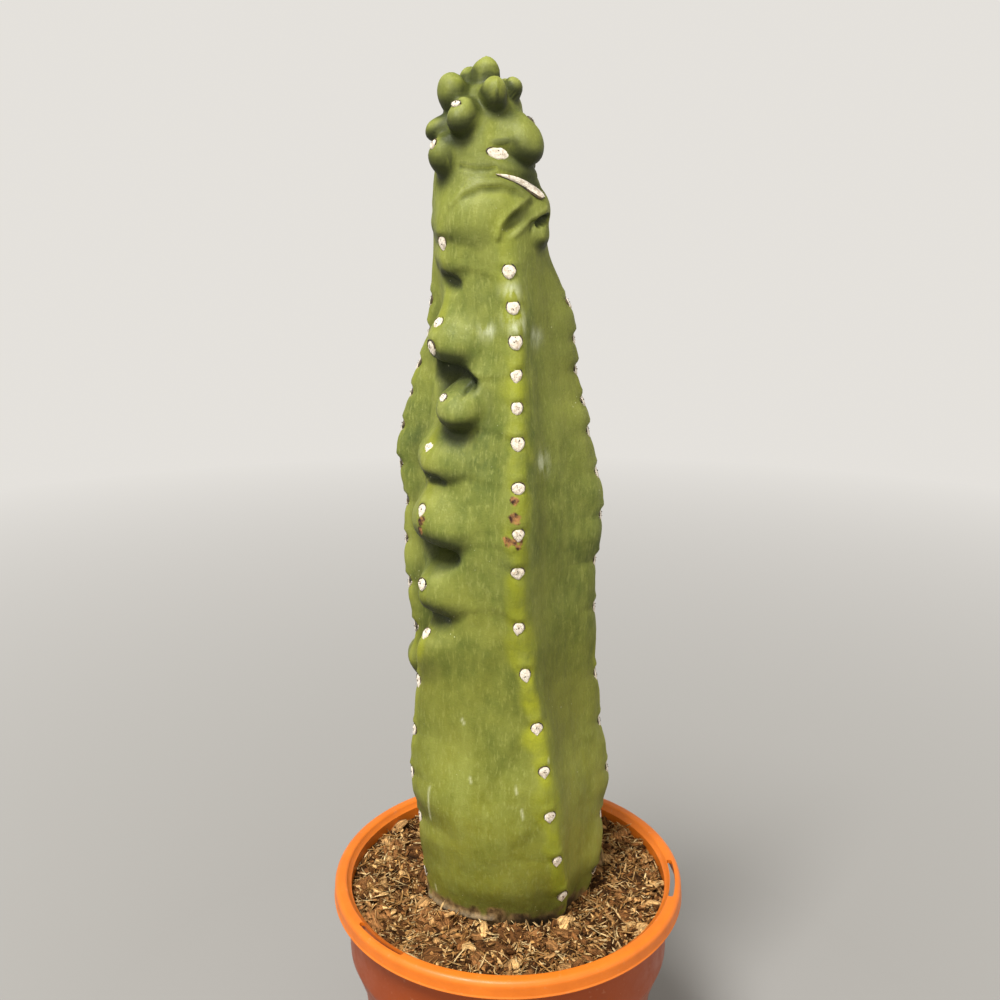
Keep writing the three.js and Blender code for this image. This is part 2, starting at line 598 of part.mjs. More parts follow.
const group = new THREE.Group();
group.add(named('pot', nurseryPot(), 0xd9662a, 0.45));
group.add(named('potting_mix', pottingMix(), 0x5a4230, 0.95));
group.add(named('cactus_stem', cactusStem(), 0x6f8a3a, 0.55));
export default group;
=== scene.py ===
"""Potted totem pole cactus: lumpy ribbed stem, woolly areole pads, bark and coir mix, plastic nursery pot.

Lengths here are millimetres, as on the real plant, and turn into metres only when a mesh is made. Azimuths
are degrees from -Y (the front) towards +X (the right). Every surface is a grid worked out with numpy.
"""

import math

import bpy
import numpy as np
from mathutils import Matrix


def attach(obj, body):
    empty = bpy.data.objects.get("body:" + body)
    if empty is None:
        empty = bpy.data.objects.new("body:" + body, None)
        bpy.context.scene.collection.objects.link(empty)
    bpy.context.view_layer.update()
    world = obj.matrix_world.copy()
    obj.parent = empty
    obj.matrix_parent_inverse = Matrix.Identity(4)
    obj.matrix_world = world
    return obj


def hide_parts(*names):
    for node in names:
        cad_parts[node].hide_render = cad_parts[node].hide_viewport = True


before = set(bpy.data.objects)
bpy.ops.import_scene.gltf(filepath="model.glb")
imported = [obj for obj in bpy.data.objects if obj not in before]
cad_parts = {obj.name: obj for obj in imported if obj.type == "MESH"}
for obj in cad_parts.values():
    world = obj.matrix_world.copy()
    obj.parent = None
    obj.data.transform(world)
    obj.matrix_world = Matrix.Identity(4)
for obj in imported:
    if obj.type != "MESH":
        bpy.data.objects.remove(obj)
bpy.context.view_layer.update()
MM = 0.001

# Pot
POT_HEIGHT = 135.0
RIM_RADIUS = 85.0
RIM_INNER_RADIUS = 78.5
SKIRT_HEIGHT = 8.0
SKIRT_THICKNESS = 1.5
FLANGE_THICKNESS = 2.0
LIP_HEIGHT = 1.2
LIP_PROUD = 0.4
WALL_THICKNESS = 1.5
COLLAR_RADIUS = 78.2
SHOULDER_TOP = 98.0
SHOULDER_BOTTOM = 80.0
SHOULDER_RADIUS = 72.0
FOOT_RADIUS = 64.0
FOOT_WIDTH = 4.0
FLOOR_RISE = 2.5
FLOOR_THICKNESS = 2.0
SLOT_CENTRES = (-46.0, 83.0, 199.0)
SLOT_SPAN = 20.0
SLOT_RADIUS = 80.4
SLOT_WIDTH = 2.4
DRAIN_RADIUS = 4.0
DRAIN_RING_RADIUS = 38.0
DRAIN_COUNT = 6
POT_SIDES = 240
RIM_BEAD = 2.6
INNER_EDGE = 1.4
SKIRT_EDGE = 0.5
FOOT_EDGE = 0.8

# Potting mix
FIT_GAP = 0.3
SOIL_LEVEL = 127.0
SOIL_RISE = 1.6
STEM_SHARE = 0.52
CLUMPS = 190
BIG_CLUMPS = 32
BARE_SHARE = 0.62
CLUMP_SINK = 0.8
MIX_BOTTOM = 5.0
MIX_SIDES = 420
MIX_RINGS = 96
CHIPS = 1900
BIG_CHIPS = 0.05
FIBRES = 2700
CRUMBS = 3800

# Stem: half width of the column and sideways lean of its axis, as (height, value) pairs
COLUMN_RADIUS = ((88, 35), (127, 38.5), (150, 44), (190, 47), (245, 43.5), (275, 42.5), (318, 45), (345, 43),
                 (372, 37.5), (398, 32.5), (430, 26), (460, 22), (500, 20))
COLUMN_LEAN = ((127, 0), (150, 1), (240, -1), (300, -3), (400, -4.5), (440, -8), (500, -10))
STUB_BOTTOM = 88.0
STUB_TAPER = 0.1
RIB_FADE = (395.0, 455.0)
COLUMN_TOP = 462.0
COLUMN_CLOSING = 14.0
BLEND = 4.5
JOIN_SHARE = 0.5
CUT_SHARE = 0.35

# Ribs in order round the stem: crest azimuth, crest reach as a share of the column radius, how narrow the
# crest is, how far it swells between its areoles, and the heights of its areoles from the top down
RIBS = (
    dict(azimuth=((127, 40), (143, 34), (165, 27), (190, 22), (231, 17), (256, 11.5), (280, 8.5), (350, 9.5),
                  (425, 13)),
         reach=((127, 1), (300, 1), (425, 1)), sharp=2.1, scallop=0.3,
         areoles=(424.5, 410.5, 397, 384, 371, 357, 339, 320, 303, 277.5, 256, 231, 211, 189, 165, 143)),
    dict(azimuth=((127, 74), (145, 77), (170, 84), (200, 85), (240, 80), (330, 80), (410, 84)),
         reach=((127, 1.02), (155, 1), (174, 0.965), (187, 1), (200, 0.985), (220, 0.96), (285, 0.965),
                (305, 0.99), (326, 1.005), (340, 0.96), (354, 0.92), (366, 0.93), (379, 0.89), (390, 0.94),
                (400, 1), (409, 1.03), (419, 1), (430, 0.94)),
         sharp=1.5, scallop=1.2,
         areoles=(410.5, 395, 382, 368.5, 355.5, 337.5, 318, 297, 275, 241.5, 217, 192, 168, 140)),
    dict(azimuth=((127, 106), (138, 110), (155, 126), (200, 142), (240, 147), (430, 150)),
         reach=((127, 1.36), (134, 1.27), (142, 1.12), (151, 1.02), (175, 0.99), (425, 0.98)),
         sharp=1.6, scallop=1.5,
         areoles=(418, 401, 385, 369, 352, 333, 313, 291, 268, 244, 219, 193, 170, 150)),
    dict(azimuth=((127, 206), (240, 212), (430, 208)),
         reach=((127, 1), (300, 0.98), (425, 0.98)), sharp=1.6, scallop=1.5,
         areoles=(421, 404, 388, 371, 353, 334, 312, 289, 265, 240, 214, 189, 166, 146)),
    dict(azimuth=((127, 270), (240, 274), (300, 272), (340, 267), (430, 266)),
         reach=((127, 0.9), (220, 0.86), (234, 0.9), (246, 1.02), (258, 0.985), (280, 1), (308, 0.95),
                (322, 0.965), (336, 1), (350, 1.04), (365, 1.055), (377, 1.04), (387, 0.98), (396, 0.95),
                (425, 0.97)),
         sharp=1.4, scallop=1,
         areoles=(411, 397.5, 384, 371, 356, 339.5, 322, 305, 285, 263)),
    dict(azimuth=((127, 282), (172, 289), (218, 292), (243, 296), (268, 304), (300, 309), (350, 309),
                  (400, 307), (435, 311)),
         reach=((127, 1.02), (148, 0.97), (165, 0.98), (176, 0.965), (188, 1.01), (212, 1.035), (245, 1.01),
                (264, 1.04), (275, 0.86), (285, 0.98), (294, 0.98), (301, 0.82), (307, 0.66),
                (314, 0.92), (326, 0.98), (336, 0.88), (343, 0.95), (351, 0.94), (359, 0.82), (368, 0.76),
                (378, 0.62), (386, 0.66), (393, 0.98), (404, 0.97), (413, 0.88), (419, 0.78), (425, 0.88),
                (435, 0.92)),
         sharp=1.1, scallop=0.6,
         areoles=(435.5, 404, 393.5, 353, 326, 292, 268, 243.5, 218, 196.5, 172.5, 140)),
)

# Depth of the valley after each rib, as a share of the column radius
VALLEYS = (
    ((127, 0.9), (200, 0.84), (300, 0.79), (400, 0.8)),
    ((127, 0.85), (200, 0.76), (400, 0.74)),
    ((127, 0.9), (200, 0.76), (400, 0.74)),
    ((127, 0.9), (240, 0.8), (300, 0.76), (400, 0.76)),
    ((127, 0.93), (240, 0.84), (300, 0.8), (400, 0.8)),
    ((127, 0.92), (200, 0.92), (245, 0.9), (300, 0.87), (400, 0.85)),
)

# Swellings, and hollows cut into them, in their order: place, half sizes across, out and up; tilt is how far
# the right end dips and pitch how far the outer end does, in degrees, for a form that faces the azimuth
HEAD = dict(at=(-11, 0, 462), half=(20.5, 20, 36))
FORMS = (
    dict(at=(-9, 2, 489), half=(13, 12, 11)),
    dict(at=(-9.7, 0, 502.6), half=(6, 6, 6.2)),
    dict(at=(-16, 6, 500), half=(5.6, 6, 6.2)),
    dict(at=(-23.2, -5.5, 494), half=(6.6, 7.5, 9), tilt=-12),
    dict(at=(-6.4, -12, 493), half=(5.3, 6.6, 7.2), azimuth=10, pitch=15),
    dict(at=(1.2, -4.4, 495.8), half=(3.8, 4.6, 4.7)),
    dict(at=(-18.2, -15, 484.3), half=(5.8, 8.4, 6.8), azimuth=328, pitch=40),
    dict(at=(-27.2, -5.5, 480.4), half=(5.2, 8, 5.4), azimuth=280, pitch=18),
    dict(at=(-25.4, -12.4, 469.4), half=(6.2, 8.4, 8.2), azimuth=306, pitch=38),
    dict(at=(4.2, -11.2, 476), half=(8.4, 12, 8.2), azimuth=42, pitch=42),
    dict(at=(-2, 13, 496), half=(5, 5.4, 5)),
    dict(at=(-20, 13, 490), half=(5.6, 5.6, 5.6)),
    dict(at=(1, 14, 483), half=(5.4, 5.4, 5.2)),
    dict(at=(-10, 20, 478), half=(6.4, 5.6, 6)),
    dict(at=(6, 12, 468), half=(5.6, 6, 5.4)),
    dict(at=(-27, 12, 472), half=(5.6, 5.6, 5.2)),
    dict(at=(-1, 20, 461), half=(6.6, 5.4, 6)),
    dict(at=(-4, -9.6, 464.6), half=(15, 10.4, 5), azimuth=12, tilt=10),
    dict(at=(-12, -10.6, 444.5), half=(19, 14, 16), tilt=-10),
    dict(at=(9.5, -8, 447), half=(7.6, 8, 10)),
    dict(at=(10, -9, 438), half=(7, 8, 6)),
    dict(at=(-28.5, -4, 443.5), half=(4.6, 6, 5.2)),
    dict(at=(-26.6, -7, 430), half=(4.4, 5, 4.7)),
    dict(at=(-17, 16, 446), half=(10, 9, 8)),
    dict(at=(8, 15, 447), half=(8, 8, 7)),
    dict(at=(-17.6, -10.5, 430), half=(11, 11, 8.5), azimuth=314, pitch=14),
    dict(at=(-20.2, -14, 396.2), half=(14.6, 14.2, 11.6), azimuth=310, pitch=14, tilt=8),
    dict(at=(-23.4, -17.5, 347.4), half=(18, 15, 10.8), azimuth=310, pitch=14, tilt=4),
    dict(at=(-24.6, -19, 320), half=(19, 17.4, 14), azimuth=310, pitch=14, tilt=3),
    dict(at=(-23.6, -17.2, 287), half=(16, 15.6, 12.4), azimuth=308, pitch=14),
    dict(at=(-41.4, 3, 247), half=(6, 9, 8)),
    dict(at=(-31.5, -22.5, 417.6), half=(12, 12, 4.4), azimuth=312, tilt=14, pitch=16, cut=True),
    dict(at=(-32.4, -27, 376.4), half=(18, 22, 8), azimuth=311, tilt=14, pitch=20, cut=True),
    dict(at=(-39, -31.5, 335.6), half=(13, 12, 3), azimuth=311, tilt=8, pitch=18, cut=True),
    dict(at=(-37.8, -29.3, 304), half=(15.5, 21, 5.8), azimuth=310, tilt=10, pitch=20, cut=True),
    dict(at=(-38, -28, 274.4), half=(14, 12, 3.8), azimuth=308, tilt=6, pitch=18, cut=True),
    dict(at=(8.6, -26.4, 449), half=(14, 8, 5.2), tilt=-38, cut=True),
    dict(at=(-4, -33, 456.5), half=(14, 10, 4.6), tilt=4, cut=True),
    dict(at=(14.6, -14.5, 444.8), half=(5, 4.6, 1.8), tilt=-30, cut=True),
    dict(at=(-19.8, -25.4, 369.4), half=(10.4, 12.4, 9), azimuth=336, pitch=24, tilt=6),
)

# Areole pads: size on the ribs, how pointed by height, the levels of a cushion and of its edge as share of
# the outline, lift and rise, and the pads of the head as azimuth, height, width, height and roll
PAD_WIDTH = 5.6
PAD_HEIGHT = 6.6
PAD_POINTS = ((150, 0.95), (240, 0.9), (340, 0.35), (430, 0.25))
PAD_SIDES = 20
PAD_SINK = 0.35
SEAT_REACH = 10
SPINES = 5
CUSHION_LEVELS = ((1, 0, -1.4), (1, 0, -0.1), (0.94, 0, 0.3), (0.74, 0, 0.55), (0.42, 0, 0.65))
EDGE_LEVELS = ((0.9, 0.02, -1.4), (1.03, 0.04, -0.6), (1.08, 0.06, 0.3), (1.02, 0.06, 0.4), (0.9, 0.02, -0.1))
EDGE_DIP = 0.7
HEAD_PADS = ((16, 470.2, 10.4, 5.8, 0), (-38, 374.2, 4.4, 4.4, -20), (-31, 488.8, 5, 3.4, 12),
             (66, 483, 4.6, 5, 0), (-53, 474.2, 3, 4.6, 0), (200, 508, 2.8, 2.4, 0), (165, 497, 4, 3.4, 0),
             (205, 480, 4.4, 3.6, 0), (245, 474, 4, 3.4, 0), (120, 469, 4, 3.4, 0), (180, 462, 4.6, 3.8, 0))
SLIT_PATH = ((9, 462.3), (19, 461.6), (31, 460.3), (44, 458.3), (53, 456.4), (62, 453.4))
SLIT_WIDTH = 4.8
SLIT_SINK = 0.1
SLIT_STEPS = 30

# Pale callus along the foot, left of the front
CALLUS = ((-84, 131.5), (-66, 130), (-48, 129.2), (-28, 129.6), (-12, 130.4))

# Relief of the skin: noises as (depth, cell, seed), a cord along the front crest and a groove left of it
SKIN_NOISE = ((1.4, 27, 3), (0.5, 12, 5), (0.16, 5, 4), (0.09, 2.4, 6))
STREAK_NOISE = ((0.1, 2.6, 23),)
STREAK_STRETCH = (1, 1, 0.15)
CORD_HEIGHT = 0.7
CORD_WIDTH = 4.2
GROOVE_DEPTH = 1.1
GROOVE_OFFSET = -9.0
GROOVE_WIDTH = 4.5
MIX_NOISE = ((0.7, 3.2, 7), (0.45, 1.4, 8), (0.8, 8, 9))
FOOT_NOISE = ((5, 4, 15), (3, 13, 16))

# Yellow along each rib's crest, as its strength and half width
BANDS = ((1.0, 5.0), (0.6, 2.6), (0.6, 2.6), (0.6, 2.6), (0.6, 2.6), (0.6, 2.8))

# Fine folds of the skin: kind, width, depth, and the azimuths and heights that they run through. A ridge
# stands proud, a crease is sunk, and a lip is raised above its path and sunk below it
FOLD_REACH = 14
FOLDS = (
    ("lip", 2, 0.9, ((-50, 383), (-40, 381.8), (-14, 382.2), (-1, 382.4), (7, 384.2))),
    ("lip", 2.2, 0.55, ((-27, 359.5), (-17, 361), (-6, 360.4), (4.4, 359.6))),
    ("lip", 2.2, 0.6, ((-38, 338.5), (-25, 341.3), (-13, 340.1), (3.8, 338.7))),
    ("lip", 2.4, 0.5, ((-27, 310.8), (-13, 312.8), (4.5, 313.1))),
    ("lip", 2.4, 0.5, ((-37, 278.4), (-22, 282.2), (-8, 283.3), (2.7, 282.6))),
    ("lip", 2.2, 0.5, ((-50, 422.5), (-29, 426), (-14, 424.4), (5, 421.4))),
    ("crease", 0.8, 0.45, ((-16, 360.5), (-18.5, 352), (-19.2, 344), (-20.6, 334))),
    ("crease", 0.8, 0.35, ((-20, 358), (-22.2, 350), (-23.2, 340))),
    ("crease", 0.8, 0.35, ((-18.8, 409), (-19.4, 401), (-18.8, 393))),
    ("crease", 0.7, 0.3, ((22.5, 392), (22.8, 380), (22, 366))),
    ("ridge", 1.3, 0.8, ((-36, 451), (-26.4, 455.2), (-9.7, 458.8), (12, 459.8), (27.5, 458.2), (42, 454.4))),
    ("crease", 2.4, 1.0, ((-20, 453), (-5, 455.4), (12, 456.2), (24, 454.6))),
    ("ridge", 0.8, 0.6, ((-36, 450.6), (-35.8, 445.5), (-35.9, 439))),
    ("ridge", 1.2, 0.8, ((44.4, 454), (31, 451.4), (20.6, 448.2), (10, 444), (6.5, 439))),
    ("crease", 1.8, 0.5, ((51, 452), (25.5, 445.6), (15.5, 441.6), (12, 437))),
    ("ridge", 1.2, 0.8, ((60, 449.3), (43.4, 445), (23, 440))),
    ("crease", 1.6, 0.7, ((45, 443.4), (54, 444.8), (64, 445.6))),
    ("crease", 0.8, 0.6, ((42.9, 440.4), (47.5, 443.4))),
    ("crease", 0.9, 0.7, ((-30, 464.9), (-13, 463.4), (1, 463.6), (9, 464.6))),
    ("crease", 0.8, 0.5, ((-18, 461.4), (-2, 460.8), (11, 461))),
    ("ridge", 0.9, 0.7, ((16.7, 498.4), (14.5, 493.3), (15, 488.4))),
    ("ridge", 0.8, 0.5, ((-38.4, 471.6), (-38.2, 467.8), (-39, 464.6))),
    ("crease", 5, 0.7, ((6, 265.5), (-3.4, 256.6), (-14, 241))),
    ("crease", 5, 0.7, ((14, 221.7), (2, 210.9), (-13, 195))),
    ("crease", 5, 0.7, ((19, 183), (5.7, 172.3), (-7, 160))),
    ("ridge", 1.5, 1.7, CALLUS),
)

# Pale scratches, as paths like those of the folds, and smears of wax and scars: azimuth, height and size
SCRATCHES = (((-50.9, 195.3), (-51.6, 191), (-52, 186.7), (-54, 177.7)), ((3.8, 203.6), (4.4, 200.8)),
             ((6.8, 192.6), (7.6, 188.6)), ((-58, 140), (-57.6, 136.4)), ((22.4, 217), (23, 214.6)),
             ((-30, 232), (-28, 229.5)), ((-24, 205.6), (-23, 203.4)))
SCRATCH_WIDTH = 0.5
CALLUS_WIDTH = 1.5
SMEARS = ((12.6, 417.4, 3.2), (12.7, 405.4, 4.4), (-9, 401, 3), (33, 398, 3.4), (30, 346, 4))
SCARS = ((6.8, 334.4, 1.9), (6.9, 327.2, 2.7), (3, 317, 2.2), (8, 316.6, 2.6), (311, 321.6, 2.7),
         (309.5, 316.4, 2.2))

# Fineness of the stem: rays level in the ground, looking down along the column, fanned out at the top
STEM_SIDES = 300
FRONT_CROWDING = 0.34
COLUMN_ROWS = 226
NECK_ROWS = 46
FAN_ROWS = 44
SKIN_BOTTOM = 116.0
LOOK_DOWN = -22.0
LEVEL_UNTIL = 170.0
NECK_START = 436.0
FAN_START = 478.0
FAN_CENTRE = 484.0
TRACE_START = 78.0
TRACE_STEPS = 40
TRACE_SHARE = 0.6
SETTLE_STEPS = 2
SETTLE_SHARE = 0.8
NORMAL_STEP = 0.6
SHELTER_STEPS = (3, 7, 13, 22)
UPWARD = 1.6
BEND_REACH = 2
LATTICE = 48
NOISE_ROUGHNESS = 0.55

# Camera, as fitted to the pot's rim in the photograph
LENS = 39.6
SENSOR = 36.0
PITCH_DOWN = 15.24
CAMERA_PLACE = (-3.9, -476.8, 452.3)

# Room and lamp, in metres and watts
ROOM_COLOUR = (0.78, 0.755, 0.715)
CEILING_STRENGTH = 0.5
FRONT_STRENGTH = 2.8
FLOOR_COLOUR = (0.25, 0.242, 0.227)
KEY_PLACE = (-0.75, -1.25, 2.8)
KEY_AIM = (0, 0, 0.25)
KEY_SIZE = 0.9
KEY_POWER = 150


# Numbers

def along(pairs, z):
    """Cubic through (height, value) pairs; the slope at a pair is that between its two neighbours."""
    heights, values = np.array(pairs, float).T
    low = np.maximum(np.arange(len(heights)) - 1, 0)
    high = np.minimum(np.arange(len(heights)) + 1, len(heights) - 1)
    slopes = (values[high] - values[low]) / (heights[high] - heights[low])
    z = np.clip(z, heights[0], heights[-1])
    i = np.clip(np.searchsorted(heights, z, side="left") - 1, 0, len(heights) - 2)
    span = heights[i + 1] - heights[i]
    t = (z - heights[i]) / span
    swing = span * (slopes[i] * t * (1 - t) ** 2 - slopes[i + 1] * t * t * (1 - t))
    return values[i] + (values[i + 1] - values[i]) * t * t * (3 - 2 * t) + swing


def smoothstep(low, high, value):
    """0 below low, 1 above high, 3t^2 - 2t^3 between."""
    t = np.clip((value - low) / (high - low), 0, 1)
    return t * t * (3 - 2 * t)


def smooth_min(a, b, blend):
    """The smaller of two fields, rounded where they are within blend of each other."""
    h = np.clip(0.5 + 0.5 * (b - a) / blend, 0, 1)
    return b + (a - b) * h - blend * h * (1 - h)


def value_noise(points, cell, seed):
    """Smooth random field from -1 to 1: seeded values on a cubic lattice, blended between its corners."""
    lattice = np.random.default_rng(seed).uniform(-1, 1, (LATTICE, LATTICE, LATTICE))
    scaled = np.asarray(points) / cell
    base = np.floor(scaled).astype(int)
    t = scaled - base
    t = t * t * (3 - 2 * t)
    total = np.zeros(scaled.shape[:-1])
    for corner in np.ndindex(2, 2, 2):
        index = (base + corner) % LATTICE
        weight = np.prod(np.where(corner, t, 1 - t), axis=-1)
        total += weight * lattice[index[..., 0], index[..., 1], index[..., 2]]
    return total


def layered_noise(points, layers):
    """Value noises one over another: each layer is (depth, cell, seed)."""
    return sum(depth * value_noise(points, cell, seed) for depth, cell, seed in layers)


def unit(vectors):
    """Vectors along the last axis, made one long."""
    return vectors / np.maximum(np.linalg.norm(vectors, axis=-1, keepdims=True), 1e-9)


# Meshes

def plain_mesh(name, points, faces):
    """A mesh from points in millimetres and faces."""
    mesh = bpy.data.meshes.new(name)
    mesh.from_pydata((np.asarray(points).reshape(-1, 3) * MM).tolist(), [], [list(face) for face in faces])
    return mesh


def in_scene(name, data):
    """A new object of the scene that holds the data."""
    holder = bpy.data.objects.new(name, data)
    bpy.context.scene.collection.objects.link(holder)
    return holder


def mesh_piece(name, points, faces, finish, slot, attributes=None, smooth=True):
    """A piece of the object from points in millimetres and faces, with float attributes on its points."""
    mesh = plain_mesh(name, points, faces)
    for key, values in (attributes or {}).items():
        layer = mesh.attributes.new(key, "FLOAT", "POINT")
        layer.data.foreach_set("value", np.asarray(values, np.float32).ravel())
    if smooth:
        mesh.shade_smooth()
    else:
        mesh.shade_flat()
    mesh.materials.append(finish)
    piece = in_scene(name, mesh)
    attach(piece, "root")
    return piece


def rolled_faces(rows, sides):
    """Quads of a grid of rows that closes on itself sideways."""
    row, side = np.meshgrid(np.arange(rows - 1), np.arange(sides), indexing="ij")
    a, b = row * sides + side, row * sides + (side + 1) % sides
    return np.stack([a, b, b + sides, a + sides], -1).reshape(-1, 4)


def end_fans(rows, sides):
    """Triangles to a point below the first row and one above the last, both numbered after the rows."""
    side = np.arange(sides)
    after = (side + 1) % sides
    count = rows * sides
    last = count - sides
    foot = np.stack([np.full(sides, count), after, side], -1)
    crown = np.stack([np.full(sides, count + 1), last + side, last + after], -1)
    return np.concatenate([foot, crown])


def closed_surface(rows, first, last):
    """Points and faces of rolled rows with a fan at each end; the first row is the lowest."""
    points = np.concatenate([rows.reshape(-1, 3), [first, last]])
    return points, rolled_faces(*rows.shape[:2]).tolist() + end_fans(*rows.shape[:2]).tolist()


def copies(shape, places, frames, *kinds):
    """Points and faces of many copies of a shape: point = place + frame times shape; faces come by kinds."""
    shapes = np.broadcast_to(shape, (len(places),) + shape.shape[-2:])
    points = places[:, None, :] + np.einsum("nij,nvj->nvi", frames, shapes)
    starts = np.arange(len(places)) * shape.shape[-2]
    faces = []
    for kind in map(np.asarray, kinds):
        faces += (kind[None] + starts[:, None, None]).reshape(-1, kind.shape[-1]).tolist()
    return points, faces


def azimuth_ring(sides):
    """Angles of evenly spaced sides, in radians from the front towards the right."""
    return 2 * np.pi * np.arange(sides) / sides


def around(angles, radius, height):
    """Points at angles from the front, a radius and a height."""
    angles, radius, height = np.broadcast_arrays(angles, radius, height)
    return np.stack([np.sin(angles) * radius, -np.cos(angles) * radius, height], -1)


# Stem field

def rib_shares(azimuth, z):
    """For each rib sector: where it holds, and the share of the way across it."""
    crests = [along(rib["azimuth"], z) for rib in RIBS]
    for k, crest in enumerate(crests):
        width = (crests[(k + 1) % len(crests)] - crest) % 360
        turn = (azimuth - crest) % 360
        share = np.where(turn > 360 - 1e-6, 0, turn) / width
        yield k, share, (share < 1 + 1e-6)


def swelling(rib, z):
    """scallop * sin(pi t^0.8), t running from one areole down to the next."""
    heights = np.array(rib["areoles"], float)[::-1]
    i = np.clip(np.searchsorted(heights, z, side="left") - 1, 0, len(heights) - 2)
    t = np.clip((heights[i + 1] - z) / (heights[i + 1] - heights[i]), 0, 1)
    inside = (z > heights[0]) & (z <= heights[-1])
    return np.where(inside, rib["scallop"] * np.sin(np.pi * t ** 0.8), 0)


def column_radius(azimuth, height):
    """Radius of the ribbed column: valley + (crest - valley) * raised cosine ** sharp across each sector."""
    z = np.maximum(height, SOIL_LEVEL)
    radius = along(COLUMN_RADIUS, z)
    fade = 1 - smoothstep(*RIB_FADE, z)
    ribbed = np.zeros_like(radius)
    crest_radii = [radius * along(rib["reach"], z) + swelling(rib, z) for rib in RIBS]
    for k, share, inside in rib_shares(azimuth, z):
        after = (k + 1) % len(RIBS)
        crest = np.where(share < 0.5, crest_radii[k], crest_radii[after])
        sharp = np.where(share < 0.5, RIBS[k]["sharp"], RIBS[after]["sharp"])
        valley = radius * along(VALLEYS[k], z)
        across = valley + (crest - valley) * (0.5 + 0.5 * np.cos(2 * np.pi * share)) ** sharp
        ribbed = np.where(inside, across, ribbed)
    stub = 1 - STUB_TAPER * np.clip((SOIL_LEVEL - height) / (SOIL_LEVEL - STUB_BOTTOM), 0, 1)
    return (radius + (ribbed - radius) * fade) * stub


def turned(first, second, degrees):
    """Two coordinates after a turn of their axes, the first axis towards minus the second."""
    c, s = math.cos(math.radians(degrees)), math.sin(math.radians(degrees))
    return first * c - second * s, first * s + second * c


def ellipsoid(lump, points):
    """About the distance to an ellipsoid, k0 (k0 - 1) / k1, from its axes across, out and up."""
    x, y, z = (points - np.array(lump["at"], float)).T
    out, across = turned(-y, x, -lump.get("azimuth", 0))
    out, up = turned(out, z, lump.get("pitch", 0))
    across, up = turned(across, up, lump.get("tilt", 0))
    local = np.stack([across, out, up], -1) / lump["half"]
    k0 = np.maximum(np.linalg.norm(local, axis=-1), 0.01)
    k1 = np.linalg.norm(local / lump["half"], axis=-1)
    return k0 * (k0 - 1) / np.maximum(k1, 1e-6)


def near_lump(lump, z):
    """The points whose height lets the lump reach them, and how softly it joins: less for a small lump."""
    blend = min(BLEND, (CUT_SHARE if "cut" in lump else JOIN_SHARE) * min(lump["half"]))
    return np.abs(z - lump["at"][2]) < max(lump["half"]) + 2 * blend, blend


def from_axis(points):
    """Height, and how far right and in front of the leaning axis the points lie."""
    x, y, z = points.T
    return z, x - along(COLUMN_LEAN, z), -y


def stem_field(points):
    """The whole stem: negative inside, zero on the skin, positive outside."""
    z, right, ahead = from_axis(points)
    side = np.hypot(right, ahead) - column_radius(np.degrees(np.arctan2(right, ahead)), z)
    field = -smooth_min(-side, COLUMN_TOP - z, COLUMN_CLOSING)
    field = smooth_min(field, ellipsoid(HEAD, points), BLEND * 2)
    for lump in FORMS:
        near, blend = near_lump(lump, z)
        sign = -1 if "cut" in lump else 1
        field[near] = sign * smooth_min(sign * field[near], ellipsoid(lump, points[near]), blend)
    return field


def skin_points(origins, directions):
    """Outermost point of the skin on each ray, found by stepping in from outside by part of the field."""
    reach = np.full(len(origins), TRACE_START)
    for _ in range(TRACE_STEPS):
        reach -= TRACE_SHARE * stem_field(origins + directions * reach[:, None])
    points = origins + directions * reach[:, None]
    for _ in range(SETTLE_STEPS):
        points = points - SETTLE_SHARE * stem_field(points)[:, None] * skin_normals(points)
    return points


def skin_normals(points):
    """Unit slope of the field, from its change over a small step along each axis."""
    return unit(np.stack([stem_field(points + NORMAL_STEP * axis) - stem_field(points - NORMAL_STEP * axis)
                          for axis in np.eye(3)], -1))


def skin_frames(azimuths, heights):
    """Points of the skin at azimuths and heights, with directions across, up and out of it."""
    angles = np.radians(azimuths)
    heights = np.asarray(heights, float)
    outward = around(angles, 1.0, 0.0)
    origins = np.stack([along(COLUMN_LEAN, heights), np.zeros_like(heights), heights], -1)
    points = skin_points(origins, outward)
    normals = skin_normals(points)
    across = unit(np.cross([0, 0, 1], normals))
    return points, across, np.cross(normals, across), normals


def stem_rays():
    """Height of the origin and elevation of the rays of every row, from the ground up to the crown."""
    column = np.linspace(SKIN_BOTTOM, NECK_START, COLUMN_ROWS, endpoint=False)
    neck = np.linspace(NECK_START, FAN_START, NECK_ROWS, endpoint=False)
    fan = np.linspace(FAN_START, FAN_CENTRE, FAN_ROWS, endpoint=False)
    heights = np.concatenate([column, neck, fan])
    opening = np.clip((heights - FAN_START) / (FAN_CENTRE - FAN_START), 0, 1)
    elevations = LOOK_DOWN * smoothstep(SOIL_LEVEL, LEVEL_UNTIL, heights) + (90 - LOOK_DOWN) * opening
    return heights, np.radians(elevations)


def areole_list():
    """Azimuth, height, width, height and roll of every areole pad, ribs first."""
    ribs = [(float(along(rib["azimuth"], z)), z, PAD_WIDTH, PAD_HEIGHT, 0.0) for rib in RIBS
            for z in rib["areoles"]]
    return np.array(ribs + [tuple(map(float, pad)) for pad in HEAD_PADS])


# Stem pieces

def crest_distances(points):
    """Distance along the skin from each rib's crest, to its right positive: one row for each rib."""
    z, right, ahead = from_axis(points)
    azimuth = np.degrees(np.arctan2(right, ahead))
    turns = np.stack([(azimuth - along(rib["azimuth"], z) + 180) % 360 - 180 for rib in RIBS])
    return np.radians(turns) * np.hypot(right, ahead)


